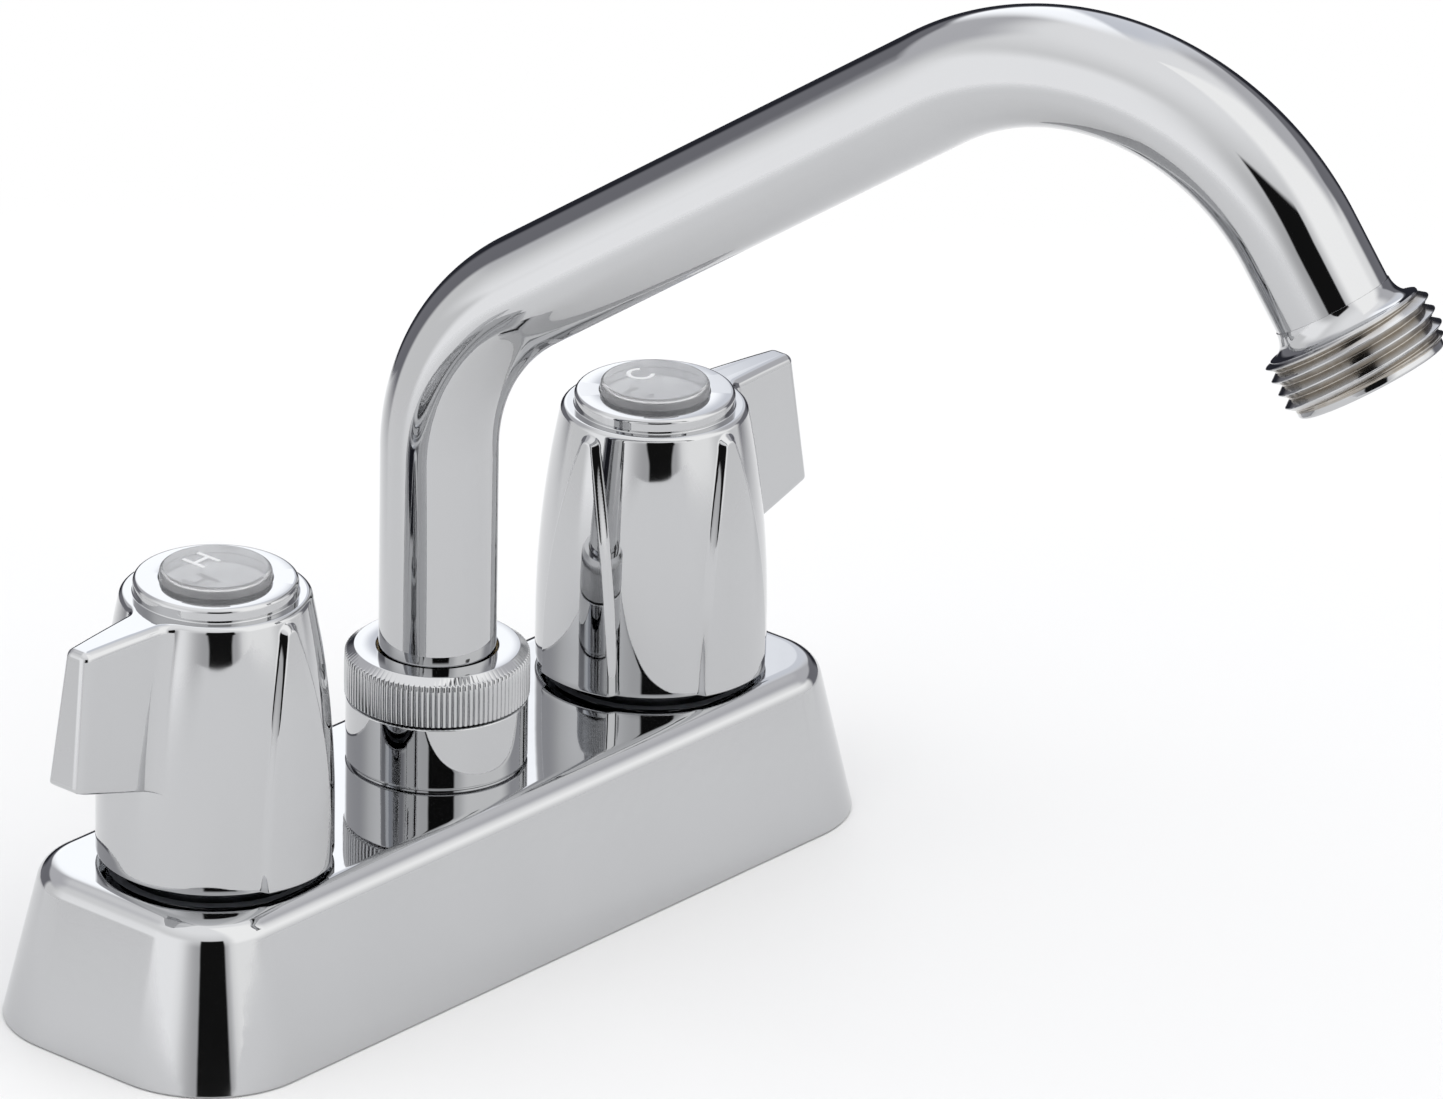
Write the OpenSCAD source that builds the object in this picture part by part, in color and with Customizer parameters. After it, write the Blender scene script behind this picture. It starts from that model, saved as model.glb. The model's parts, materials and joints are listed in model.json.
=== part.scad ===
// Two-handle utility sink faucet with a swivelling hose-thread spout.
// Millimetres. The origin is the centre of the base on the sink deck, +Z is up,
// +X runs along the base towards the cold handle and the user stands at -Y.

/* [Base] */
// Length of the base along X
base_l = 161; // [150:0.5:180]
// Depth of the base along Y
base_w = 55.4; // [54:0.2:64]
// Height of the base above the deck
base_h = 26.2; // [25:0.2:32]
// Radius of the base's corners at the deck
base_corner_r = 18; // [14:0.5:22]
// How far each side leans in from deck to top
base_lean = 6.2; // [2:0.1:8]
// Rounding of the base's top edge
base_edge_r = 4; // [3:0.1:6]
// Wall of the base shell
base_wall = 2; // [1.2:0.1:2.6]
// Thickness of the rubber gasket under the base
gasket_t = 2.4; // [1.5:0.1:3]
// Distance between the two valve axes
valve_spacing = 101.6; // [98:0.1:106]

/* [Spout] */
// Outside diameter of the spout tube
tube_d = 18.6; // [16:0.1:20]
// Wall of the spout tube
tube_wall = 1.4; // [0.8:0.1:2]
// Height on the deck where the upright leg starts to bend
leg_top = 79.4; // [70:0.1:110]
// Bend radius of the tube's centre line above the leg
lower_bend_r = 35.9; // [24:0.1:50]
// Climb of the spout's arm from level
arm_climb = 34.5; // [20:0.5:45]
// Straight length of the arm
arm_l = 84.4; // [40:0.1:140]
// Bend radius of the tube's centre line at the top
upper_bend_r = 43.2; // [28:0.1:60]
// How far the outlet points down from level
outlet_dip = 57.4; // [40:0.5:85]
// Straight length of tube after the upper bend
tail_l = 17; // [12:0.1:40]
// How much the tube draws in at its bends
bend_draw = 0.1; // [0.08:0.01:0.15]
// Spout's turn from straight ahead towards the cold side
spout_turn = 13.6; // [-60:0.1:60]

/* [Hose thread] */
// Outside diameter over the thread crests
hose_thread_d = 26.9; // [26:0.05:28]
// Distance from crest to crest
hose_pitch = 2.209; // [1.8:0.001:2.6]
// Number of crests
hose_crests = 4; // [3:1:6]
// Depth of the thread
hose_thread_depth = 1.25; // [0.8:0.05:1.4]
// Width of the flat on each crest
hose_crest_flat = 0.3; // [0.2:0.05:0.4]
// Bore of the outlet
outlet_bore_d = 16.4; // [12:0.1:17]
// Depth of the tube inside the hose end
hose_socket_depth = 6; // [4:0.1:8]
// Length of the flare between tube and thread
hose_flare_l = 3.4; // [2:0.1:5]
// Plain end below the last crest
hose_lead_l = 1.3; // [0.8:0.1:3]

/* [Hub and coupling nut] */
// Wall of the hub outside the spigot bore
hub_wall = 5.05; // [4.4:0.05:7]
// Height of the hub above the base
hub_h = 10.7; // [8:0.1:16]
// Depth of the hub's thread in the waterway body
hub_engage = 5.5; // [4:0.1:6]
// Wall of the hub's lower thread
hub_foot_wall = 1.1; // [1:0.05:1.6]
// Height of the coupling nut
nut_h = 8.5; // [8.2:0.1:12]
// Height of the nut's knurled band
knurl_h = 7.7; // [5:0.1:8]
// Number of knurl ridges
knurl_count = 104; // [60:1:120]
// Depth of the knurl
knurl_depth = 0.35; // [0.1:0.05:0.5]
// How far the knurl stands out from the hub
knurl_stand = 0.25; // [0:0.05:1]
// Width of the chamfer round the nut's top
nut_chamfer_w = 1.2; // [0.5:0.1:1.6]
// Thickness of the nut's top lip
nut_lip_t = 1.2; // [0.8:0.1:1.8]
// Depth of the coupling thread
coupling_thread_depth = 1.5; // [1:0.1:1.8]
// Thickness of each slip ring beside the spigot's flange
slip_ring_t = 0.6; // [0.4:0.1:1]
// Thickness of the spigot's flange
flange_t = 1.9; // [1.4:0.1:2.4]
// Width of the spigot's flange outside the tube
flange_w = 2.1; // [1.6:0.1:2.4]
// Length of the spigot's plug inside the tube
plug_l = 9; // [5:0.1:14]
// Wall of the spigot
spigot_wall = 2.9; // [2.4:0.1:3.6]
// Length of the spigot below its flange
spigot_l = 21; // [16:0.1:21.4]

/* [Handles] */
// Skirt radius of a handle
handle_r = 18.55; // [17.6:0.05:21]
// Height of the skirt's rim above the base
handle_rim_gap = 1.3; // [0.8:0.1:3]
// Height of a handle from its rim to its shoulder
handle_h = 43.4; // [42:0.1:50]
// Straight height of the skirt
skirt_h = 7.2; // [3:0.1:12]
// Radius of the bulging flank above the skirt
flank_r = 178; // [150:1:400]
// Radius of the raised disc on a handle
disc_r = 12.85; // [11:0.05:13]
// Height of the raised disc
disc_h = 2.3; // [1.5:0.1:3]
// Chamfer on the shoulder and the disc
handle_edge = 0.7; // [0.2:0.1:1]
// Width of an arch panel at the rim
arch_w = 14.2; // [10:0.1:18]
// Radius of an arch panel's sides
arch_side_r = 142; // [130:1:200]
// Distance of an arch panel's top below the shoulder
arch_top_gap = 1.9; // [1.5:0.1:8]
// Height of the arch panels above the flank
arch_height = 1; // [0.3:0.05:1.4]
// Radius of the hollow under the skirt
cavity_r = 15.2; // [14.8:0.05:15.6]
// Length of the stem's grip in the handle
socket_l = 12; // [8:0.1:14]
// Thickness of the web under the screw's head
web_t = 1.2; // [0.8:0.1:2]

/* [Levers] */
// Reach of a lever from its axis at the top
lever_reach_top = 31; // [26:0.5:38]
// Reach of a lever from its axis at the bottom
lever_reach_bottom = 34; // [28:0.5:40]
// How far a lever's top lies below the shoulder
lever_top_gap = 0.4; // [0.1:0.1:3]
// Height of a lever's tip
lever_tip_h = 22; // [14:0.5:26]
// How far the underside drops from tip to root
lever_drop = 8; // [2:0.5:10]
// Thickness of a lever's tip at the top
lever_tip_top_t = 4.4; // [3:0.1:7]
// Thickness of a lever's tip at the bottom
lever_tip_bottom_t = 6.9; // [4:0.1:9]
// Thickness of a lever's top at the raised disc
lever_root_top_t = 8.4; // [6:0.1:10]
// Thickness of a lever's underside at the skirt
lever_root_t = 7.9; // [7:0.1:10]

/* [Index buttons and screws] */
// Radius of an index button
button_r = 8.75; // [7:0.05:9]
// How far a button stands above its disc
button_stand = 1.8; // [0.8:0.1:3]
// Depth of a button in its disc
button_depth = 3.2; // [2:0.1:3.4]
// Chamfer round a button's top
button_edge = 0.6; // [0.2:0.1:0.7]
// Thread diameter of the handle screw
screw_d = 4.8; // [4:0.1:5]
// Length of the handle screw's shank
screw_l = 11; // [6:0.1:11.5]
// Radius of the handle screw's head
screw_head_r = 4.4; // [3.6:0.1:5]
// Height of the handle screw's head
screw_head_h = 2.5; // [1.5:0.1:3]
// Width of the handle screw's slot
screw_slot_w = 1.1; // [0.6:0.1:1.6]

/* [Valves] */
// Outside radius of a valve body
valve_r = 12.2; // [11.8:0.05:12.6]
// Radius of a valve chamber
chamber_r = 9.6; // [9.2:0.05:10]
// Height of the valve neck above the base
neck_rise = 9.8; // [8:0.1:11]
// Width of the clamp nut round the neck
clamp_nut_w = 2.1; // [1.2:0.1:2.2]
// Height of the clamp nut
clamp_nut_h = 5.8; // [3:0.1:7]
// Length of the bonnet's thread in the neck
bonnet_plug_l = 9; // [6:0.1:9.4]
// Height of the bonnet's hexagon
bonnet_head_h = 5; // [3:0.1:6]
// Hexagon size of the bonnet across its corners
bonnet_hex_d = 26; // [22:0.1:27]
// Journal radius of the stem
stem_r = 6; // [5:0.05:7]
// Shaft radius of the stem below its collar
stem_shaft_r = 4.6; // [3.5:0.05:5]
// Collar radius of the stem
stem_collar_r = 7.6; // [6.8:0.05:8.6]
// Collar height of the stem
stem_collar_h = 2.9; // [2:0.1:4]
// Width across the two flats of the stem's top
stem_flats = 8.6; // [7:0.1:9]
// Thickness of the port disc
port_disc_t = 3; // [2:0.1:4]
// Distance of the port from the valve's axis
port_offset = 4.2; // [3.8:0.05:4.6]
// Radius of the port
port_r = 2.2; // [1.5:0.05:2.5]
// Outside radius of the rubber seat
seat_r = 3.1; // [2.8:0.05:3.3]
// How far the seat stands above the chamber's floor
seat_stand = 1.3; // [0.6:0.1:2]
// Depth of the seat's pocket
pocket_depth = 3.7; // [3:0.1:4]
// Length of the fitted seat spring
spring_l = 2.4; // [1.8:0.1:2.6]
// Wire diameter of the seat spring
spring_wire_d = 0.5; // [0.3:0.05:0.6]
// Turns of the seat spring
spring_turns = 2; // [1:0.5:2.5]
// Radius of an O-ring's section
o_ring_r = 0.9; // [0.6:0.05:1.1]
// Outside radius of the crossover bar
bar_r = 6.5; // [5.5:0.1:7]
// Bore radius of the crossover bar
bar_bore_r = 4.2; // [3:0.1:4.4]
// Wall of the centre block round the hub's thread
block_wall = 2.6; // [2:0.1:4]

/* [Inlets and deck fixing] */
// Outside diameter of a shank's fixing thread
shank_d = 22.2; // [21.6:0.05:22.6]
// Outside diameter of the supply thread at a shank's end
supply_d = 20.9; // [20:0.05:21.3]
// Length of the supply thread
supply_l = 22; // [14:0.5:24]
// Length of a shank below the deck
shank_l = 46; // [40:0.5:70]
// Waterway diameter of a shank
shank_bore_d = 13; // [13:0.1:15]
// Diameter of the tail-pipe socket in the shank's end
inlet_d = 16; // [15.4:0.1:17]
// Depth of the tail-pipe socket
inlet_depth = 20; // [8:0.5:22]
// Depth of a shank in its valve body
shank_engage = 2; // [1.2:0.1:2.4]
// Ledge under the seat spring
ledge_t = 0.6; // [0.4:0.1:1]
// Distance from deck face to fixing washer
deck_t = 12; // [6:0.5:16]
// Thickness of the fixing washer
washer_t = 1.5; // [1:0.1:3]
// Radius of the fixing washer
washer_r = 19; // [17:0.5:24]
// Height of the fixing nut
fixing_nut_h = 8; // [5:0.1:10]
// Hexagon size of the fixing nut across its corners
fixing_nut_d = 34; // [28:0.5:40]

/* [Fits] */
// Radial clearance of turning fits
run_fit = 0.05; // [0.02:0.01:0.1]
// Radial clearance of screwed, brazed and pushed joints
joint_fit = 0.05; // [0.02:0.01:0.1]
// Clearance round pieces that pass without touching
pass_gap = 0.35; // [0.3:0.05:0.5]
// End float between faces that turn on each other
end_float = 0.05; // [0.02:0.01:0.1]

/* [Hidden] */
$fn = 64;

// Overshoot of cutting shapes
cut = 1;
// Overlap of the straights with the bends
bend_lap = 0.5;
// Side of each valve along X
HOT = -1;
COLD = 1;

chrome = [0.82, 0.83, 0.85];
brass = [0.78, 0.62, 0.30];
steel = [0.62, 0.63, 0.65];
rubber = [0.10, 0.10, 0.11];
nylon = [0.90, 0.90, 0.88];
acrylic = [0.80, 0.82, 0.84, 0.6];

valve_x = valve_spacing / 2;
tube_r = tube_d / 2;
tube_bore_r = tube_r - tube_wall;

// Heights inside the base
shell_under = base_h - base_wall;
body_z = gasket_t;
socket_top = body_z + shank_engage;
pocket_floor = socket_top + ledge_t;
chamber_floor = pocket_floor + pocket_depth;
port_disc_z = chamber_floor + seat_stand;
bar_z = (body_z + shell_under) / 2;

// Heights of a valve's top
neck_top = base_h + neck_rise;
plug_z = neck_top - bonnet_plug_l;
bonnet_top = neck_top + bonnet_head_h;
collar_top = plug_z - end_float;
handle_rim = base_h + handle_rim_gap;
shoulder_z = handle_rim + handle_h;
disc_top = shoulder_z + disc_h;
button_floor = disc_top - button_depth;
screw_seat = button_floor - screw_head_h - end_float;
stem_top = screw_seat - web_t;
socket_z = stem_top - socket_l;
// The hollow under the skirt ends here, above the bonnet
cavity_top = (bonnet_top + socket_z) / 2;

// Radii of the hub and its nut
hub_bore_r = tube_r + run_fit;
hub_r = hub_bore_r + hub_wall;
hub_foot_r = hub_bore_r + hub_foot_wall;
block_r = hub_foot_r + joint_fit + block_wall;
coupling_r = hub_r - coupling_thread_depth;
nut_r = hub_r + knurl_stand;
flange_r = tube_r + flange_w;

// Heights of the hub and its nut
hub_shoulder = base_h + hub_h;
nut_top = hub_shoulder + nut_h;
nut_lip_z = nut_top - nut_lip_t;
flange_top = nut_lip_z - slip_ring_t - end_float;
flange_z = flange_top - flange_t;
hub_top = flange_z - end_float - slip_ring_t;
spigot_z = flange_z - spigot_l;

// Points of the spout's centre line, as distance ahead and height
arm_start = [lower_bend_r * (1 - sin(arm_climb)), leg_top + lower_bend_r * cos(arm_climb)];
arm_end = arm_start + arm_l * [cos(arm_climb), sin(arm_climb)];
crown = arm_end + upper_bend_r * [sin(arm_climb), -cos(arm_climb)];
tail_start = crown + upper_bend_r * [sin(outlet_dip), cos(outlet_dip)];

// Hose end, measured along the outlet from the start of its flare
hose_root_r = hose_thread_d / 2 - hose_thread_depth;
hose_flank = hose_thread_depth * tan(30);
hose_first = hose_flare_l + hose_flank;
hose_last = hose_first + (hose_crests - 1) * hose_pitch + hose_crest_flat;
hose_l = hose_last + hose_flank + hose_lead_l;
hose_lip = 0.4;

// Outline of the shell's side from the foot to the top edge
function edge_points(reach, foot, h, lean, edge_r, steps = 8) =
  let (
    slope = lean / h,
    turn = 90 - atan(slope),
    cx = reach - (h - edge_r) * slope - edge_r * sqrt(1 + slope * slope),
    cz = h - edge_r
  )
  concat(
    [[reach - foot * slope, foot]],
    [for (i = [0:steps])
      let (a = 90 - turn + turn * i / steps)
      [cx + edge_r * cos(a), cz + edge_r * sin(a)]]
  );

// Box with leaning sides, round corners and a rounded top edge
module leaning_box(l, w, h, lean, corner_r, edge_r, foot = 0) {
  corner = edge_points(corner_r, foot, h, lean, edge_r);
  side = edge_points(w / 2, foot, h, lean, edge_r);
  last = len(side) - 1;
  half = concat([[0, foot]], corner, [[0, h]]);
  full = concat(side, [for (i = [last:-1:0]) [-side[i][0], side[i][1]]]);
  dx = l / 2 - corner_r;
  dy = w / 2 - corner_r;
  rotate([90, 0, 90]) linear_extrude(2 * dx, center = true) polygon(full);
  for (s = [0, 180])
    rotate([0, 0, s]) {
      translate([dx, 0, 0]) rotate([90, 0, 0]) linear_extrude(2 * dy, center = true) polygon(half);
      translate([dx, dy, 0]) rotate_extrude(angle = 90) polygon(half);
      translate([dx, -dy, 0]) rotate([0, 0, -90]) rotate_extrude(angle = 90) polygon(half);
    }
}

// Round rod standing on z
module rod(r, z, top) {
  translate([0, 0, z]) cylinder(r = r, h = top - z);
}

// Round tube standing on z
module pipe(outer, inner, z, top) {
  difference() {
    rod(outer, z, top);
    rod(inner, z - cut, top + cut);
  }
}

// Places what belongs to one valve
module at_valve(side) {
  translate([side * valve_x, 0, 0]) children();
}

// Turns the spout's plane from +X to where the spout points
module at_spout() {
  rotate([0, 0, spout_turn - 90]) children();
}

// Puts +Z along the outlet, with the origin at the start of the tail
module at_tail() {
  at_spout() translate([tail_start[0], 0, tail_start[1]]) rotate([0, 90 + outlet_dip, 0]) children();
}

// Rubber ring lying flat
module ring(mean_r, z) {
  color(rubber) translate([0, 0, z]) rotate_extrude() translate([mean_r, 0]) circle(r = o_ring_r);
}

// Chromed shell with three holes in its top
module escutcheon() {
  inner_h = base_h - base_wall;
  color(chrome) difference() {
    leaning_box(base_l, base_w, base_h, base_lean, base_corner_r, base_edge_r);
    leaning_box(
      base_l - 2 * base_wall, base_w - 2 * base_wall, inner_h, base_lean * inner_h / base_h,
      base_corner_r - base_wall, base_edge_r - base_wall / 2, -cut
    );
    rod(hub_foot_r + pass_gap, 0, base_h + cut);
    for (side = [HOT, COLD])
      at_valve(side) rod(valve_r + joint_fit, 0, base_h + cut);
  }
}

// Flat rubber gasket inside the shell's foot
module base_gasket() {
  margin = base_wall + base_lean * gasket_t / base_h + pass_gap;
  r = base_corner_r - margin;
  dx = base_l / 2 - base_corner_r;
  dy = base_w / 2 - base_corner_r;
  color(rubber) difference() {
    linear_extrude(gasket_t) union() {
      square([2 * dx, 2 * (dy + r)], center = true);
      square([2 * (dx + r), 2 * dy], center = true);
      for (x = [-dx, dx])
        for (y = [-dy, dy])
          translate([x, y]) circle(r = r);
    }
    for (side = [HOT, COLD])
      at_valve(side) rod(shank_d / 2 + pass_gap, -cut, gasket_t + cut);
  }
}

// Brass casting that carries both valves, the crossover and the hub
module waterway_body() {
  block_floor = bar_z - bar_bore_r - cut;
  color(brass) difference() {
    union() {
      rod(block_r, body_z, shell_under);
      translate([-valve_x, 0, bar_z]) rotate([0, 90, 0]) cylinder(r = bar_r, h = valve_spacing);
      for (side = [HOT, COLD])
        at_valve(side) rod(valve_r, body_z, neck_top);
    }
    translate([-valve_x, 0, bar_z]) rotate([0, 90, 0]) cylinder(r = bar_bore_r, h = valve_spacing);
    rod(hub_foot_r + joint_fit, block_floor, shell_under + cut);
    for (side = [HOT, COLD])
      at_valve(side) {
        rod(chamber_r, chamber_floor, neck_top + cut);
        rod(shank_d / 2 + joint_fit, body_z - cut, socket_top);
        translate([0, port_offset, 0]) {
          rod(seat_r + joint_fit, pocket_floor, chamber_floor + cut);
          rod(port_r, socket_top - cut, pocket_floor + cut);
        }
      }
  }
}

// Chromed hub that screws down on the shell
module spout_hub() {
  color(chrome) difference() {
    union() {
      rod(hub_foot_r, shell_under - hub_engage, base_h + cut);
      rod(hub_r, base_h, hub_shoulder);
      rod(coupling_r, hub_shoulder, hub_top);
    }
    rod(hub_bore_r, shell_under - hub_engage - cut, hub_top + cut);
  }
}

// Knurled nut that holds the spout down
module coupling_nut() {
  band_top = hub_shoulder + knurl_h;
  chamfer_r = nut_r - knurl_depth - nut_chamfer_w;
  teeth = [for (i = [0:2 * knurl_count - 1])
    let (a = 180 * i / knurl_count, r = nut_r - (i % 2) * knurl_depth)
    r * [cos(a), sin(a)]];
  color(chrome) difference() {
    union() {
      translate([0, 0, hub_shoulder]) linear_extrude(knurl_h) polygon(teeth);
      translate([0, 0, band_top])
        cylinder(r1 = nut_r - 1.5 * knurl_depth, r2 = chamfer_r, h = nut_top - band_top);
    }
    rod(coupling_r + joint_fit, hub_shoulder - cut, nut_lip_z);
    rod(tube_r + pass_gap, nut_lip_z - cut, nut_top + cut);
  }
}

// Nylon ring between the hub and the spigot's flange
module lower_slip_ring() {
  color(nylon) pipe(flange_r, tube_r + pass_gap, hub_top, hub_top + slip_ring_t);
}

// Nylon ring between the spigot's flange and the nut's lip
module upper_slip_ring() {
  color(nylon) pipe(flange_r, tube_r + pass_gap, nut_lip_z - slip_ring_t, nut_lip_z);
}

// Threaded inlet under one valve
module inlet_shank(side) {
  color(brass) at_valve(side) difference() {
    union() {
      rod(supply_d / 2, -shank_l, socket_top);
      rod(shank_d / 2, supply_l - shank_l, socket_top);
    }
    rod(shank_bore_d / 2, -shank_l, socket_top + cut);
    rod(inlet_d / 2, -shank_l - cut, inlet_depth - shank_l);
  }
}

// Washer that bears on the deck's underside
module fixing_washer(side) {
  color(steel) at_valve(side)
    pipe(washer_r, shank_d / 2 + pass_gap, -deck_t - washer_t, -deck_t);
}

// Hexagon nut that pulls the faucet down
module fixing_nut(side) {
  nut_z = -deck_t - washer_t - fixing_nut_h;
  color(brass) at_valve(side) difference() {
    translate([0, 0, nut_z]) cylinder(d = fixing_nut_d, h = fixing_nut_h, $fn = 6);
    rod(shank_d / 2 + joint_fit, nut_z - cut, nut_z + fixing_nut_h + cut);
  }
}

// Chromed ring nut that clamps the shell round a valve neck
module clamp_nut(side) {
  color(chrome) at_valve(side)
    pipe(valve_r + joint_fit + clamp_nut_w, valve_r + joint_fit, base_h, base_h + clamp_nut_h);
}

// Hexagon bonnet that keeps the stem in its valve
module bonnet_nut(side) {
  color(brass) at_valve(side) difference() {
    union() {
      rod(chamber_r - joint_fit, plug_z, neck_top);
      translate([0, 0, neck_top]) cylinder(d = bonnet_hex_d, h = bonnet_head_h, $fn = 6);
    }
    rod(stem_r + run_fit, plug_z - cut, bonnet_top + cut);
  }
}

// Rubber seat that the port disc slides on
module valve_seat(side) {
  color(rubber) at_valve(side) translate([0, port_offset, 0])
    pipe(seat_r, seat_r / 2, pocket_floor + spring_l, port_disc_z - end_float);
}

// Points round the wire of the seat spring, one ring for each step
spring_sides = 6;
spring_steps = 12;
spring_r = seat_r - spring_wire_d;

function spring_point(i, k) =
  let (
    a = 360 * i / spring_steps,
    b = 360 * k / spring_sides,
    wire = spring_wire_d / 2,
    rise = (spring_l - spring_wire_d) * i / (spring_turns * spring_steps),
    r = spring_r + wire * cos(b)
  )
  [r * cos(a), r * sin(a), wire + rise + wire * sin(b)];

// Coil spring that lifts the seat
module seat_spring(side) {
  rings = spring_turns * spring_steps;
  points = [for (i = [0:rings]) for (k = [0:spring_sides - 1]) spring_point(i, k)];
  walls = [for (i = [0:rings - 1]) for (k = [0:spring_sides - 1])
    let (a = i * spring_sides + k, b = i * spring_sides + (k + 1) % spring_sides)
    for (t = [[a, b, b + spring_sides], [a, b + spring_sides, a + spring_sides]]) t];
  tail = rings * spring_sides;
  caps = [for (k = [1:spring_sides - 2])
    for (t = [[0, k + 1, k], [tail, tail + k, tail + k + 1]]) t];
  color(steel) at_valve(side) translate([0, port_offset, pocket_floor])
    polyhedron(points, [for (t = concat(walls, caps)) [t[0], t[2], t[1]]]);
}

// Solid bar of radius r along the spout's path, with bends a little thinner than the straights
module spout_path(r, extra = 0) {
  rod(r, flange_top - extra, leg_top + bend_lap);
  translate([lower_bend_r, 0, leg_top]) rotate([90, 0, 0]) rotate([0, 0, 90 + arm_climb])
    rotate_extrude(angle = 90 - arm_climb) translate([lower_bend_r, 0]) circle(r = r - bend_draw);
  translate([arm_start[0], 0, arm_start[1]]) rotate([0, 90 - arm_climb, 0])
    rod(r, -bend_lap, arm_l + bend_lap);
  translate([crown[0], 0, crown[1]]) rotate([90, 0, 0]) rotate([0, 0, 90 - outlet_dip])
    rotate_extrude(angle = arm_climb + outlet_dip) translate([upper_bend_r, 0]) circle(r = r - bend_draw);
  translate([tail_start[0], 0, tail_start[1]]) rotate([0, 90 + outlet_dip, 0])
    rod(r, -bend_lap, tail_l + extra);
}

// Bent spout tube
module spout_tube() {
  color(chrome) at_spout() difference() {
    spout_path(tube_r);
    spout_path(tube_bore_r, cut);
  }
}

// Height of an O-ring on the spigot, counted from the spigot's foot
function spigot_ring_z(i) = spigot_z + (0.2 + 0.3 * i) * spigot_l;

// Turned spigot that the spout swivels on
module spout_spigot() {
  bore = tube_r - spigot_wall;
  color(brass) difference() {
    union() {
      rod(tube_r, spigot_z, flange_z);
      rod(flange_r, flange_z, flange_top);
      rod(tube_bore_r - joint_fit, flange_top, flange_top + plug_l);
    }
    rod(bore, spigot_z - cut, flange_top + plug_l + cut);
    for (i = [0, 1])
      translate([0, 0, spigot_ring_z(i)])
        pipe(tube_r + cut, tube_r - 2 * o_ring_r, -o_ring_r, o_ring_r);
  }
}

// Hose-thread end brazed on the tube
module hose_end() {
  start_r = tube_r + joint_fit + hose_lip;
  flare = [for (i = [0:8])
    let (a = 90 * i / 8)
    [hose_root_r - (hose_root_r - start_r) * cos(a), hose_flare_l * sin(a)]];
  crests = [for (i = [0:hose_crests - 1])
    let (z = hose_first + i * hose_pitch)
    for (p = [[hose_root_r, z - hose_flank], [hose_root_r + hose_thread_depth, z],
              [hose_root_r + hose_thread_depth, z + hose_crest_flat],
              [hose_root_r, z + hose_crest_flat + hose_flank]]) p];
  lead = [[hose_root_r, hose_l - hose_lip], [hose_root_r - hose_lip, hose_l]];
  color(chrome) at_tail() translate([0, 0, tail_l - hose_socket_depth]) difference() {
    rotate_extrude() polygon(concat([[0, 0]], flare, crests, lead, [[0, hose_l]]));
    rod(tube_r + joint_fit, -cut, hose_socket_depth);
    rod(outlet_bore_d / 2, 0, hose_l + cut);
  }
}

// Radius of a handle's side at a height, raised by a height
function flank_at(z, raised = 0) =
  let (up = max(0, z - handle_rim - skirt_h))
  handle_r + raised - (flank_r - sqrt(flank_r * flank_r - up * up));

// Points up a handle's side
function flank_points(top, raised = 0, steps = 8) =
  let (foot = handle_rim + skirt_h)
  [for (i = [0:steps])
    let (z = foot + (top - foot) * i / steps)
    [flank_at(z, raised), z]];

// Turned form of a handle without its lever
module handle_turning() {
  rim_z = shoulder_z - handle_edge;
  disc_edge = disc_top - handle_edge;
  rotate_extrude() polygon(concat(
    [[0, handle_rim], [handle_r, handle_rim]],
    flank_points(rim_z),
    [[flank_at(rim_z) - handle_edge, shoulder_z], [disc_r, shoulder_z], [disc_r, disc_edge],
     [disc_r - handle_edge, disc_top], [0, disc_top]]
  ));
}

// Raised panel with two curved sides that meet near the shoulder and a sloping top, facing +X
module arch_panel() {
  top = shoulder_z - arch_top_gap;
  inset = arch_side_r - arch_w / 2;
  root = (handle_r - cavity_r) / 2;
  intersection() {
    rotate([90, 0, 90]) linear_extrude(handle_r + arch_height + cut) intersection() {
      translate([-inset, handle_rim]) circle(r = arch_side_r);
      translate([inset, handle_rim]) circle(r = arch_side_r);
      translate([-arch_w / 2, handle_rim]) square([arch_w, top - handle_rim]);
    }
    rotate_extrude() polygon(concat(
      [[handle_r - root, handle_rim], [handle_r + arch_height, handle_rim]],
      flank_points(top - arch_height, arch_height),
      [[flank_at(top), top], [flank_at(top) - root, top]]
    ));
  }
}

// One side plane of a lever, thinner towards the tip and towards the top
module lever_side(top, foot) {
  slope = (lever_root_top_t - lever_tip_top_t) / 2 / (lever_reach_top - disc_r);
  turn = atan(slope);
  high = (lever_tip_top_t / 2 + slope * lever_reach_top) * cos(turn);
  low = (lever_tip_bottom_t / 2 + slope * lever_reach_bottom) * cos(turn);
  rise = [high - low, lever_tip_h];
  foot_point = [low, foot] - rise;
  rotate([0, 0, -turn]) rotate([90, 0, 90]) linear_extrude(2 * lever_reach_bottom)
    polygon([[-handle_r, foot_point[1]], foot_point, [high, top] + rise, [-handle_r, top + rise[1]]]);
}

// Flat blade that leans out at its tip, pointing along +X
module lever_blade() {
  top = shoulder_z - lever_top_gap;
  foot = top - lever_tip_h;
  root_foot = foot - lever_drop;
  slope = (lever_root_t - lever_tip_bottom_t) / 2 / (lever_reach_bottom - handle_r);
  root = lever_root_t / 2 + slope * handle_r;
  tip_x = lever_reach_bottom + cut;
  tip = root - slope * tip_x;
  intersection() {
    rotate([90, 0, 0]) linear_extrude(2 * handle_r, center = true)
      polygon([[stem_r, root_foot], [lever_reach_bottom, foot], [lever_reach_top, top], [stem_r, top]]);
    translate([0, 0, root_foot - cut]) linear_extrude(top - root_foot + 2 * cut)
      polygon([[0, -root], [tip_x, -tip], [tip_x, tip], [0, root]]);
    lever_side(top, foot);
    mirror([0, 1, 0]) lever_side(top, foot);
  }
}

// Round bar with two flats, which drives the handle
module drive(grow, z, top) {
  intersection() {
    rod(stem_r + grow, z, top);
    translate([0, 0, (z + top) / 2])
      cube([2 * (stem_r + cut), stem_flats + 2 * grow, top - z + cut], center = true);
  }
}

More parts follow.
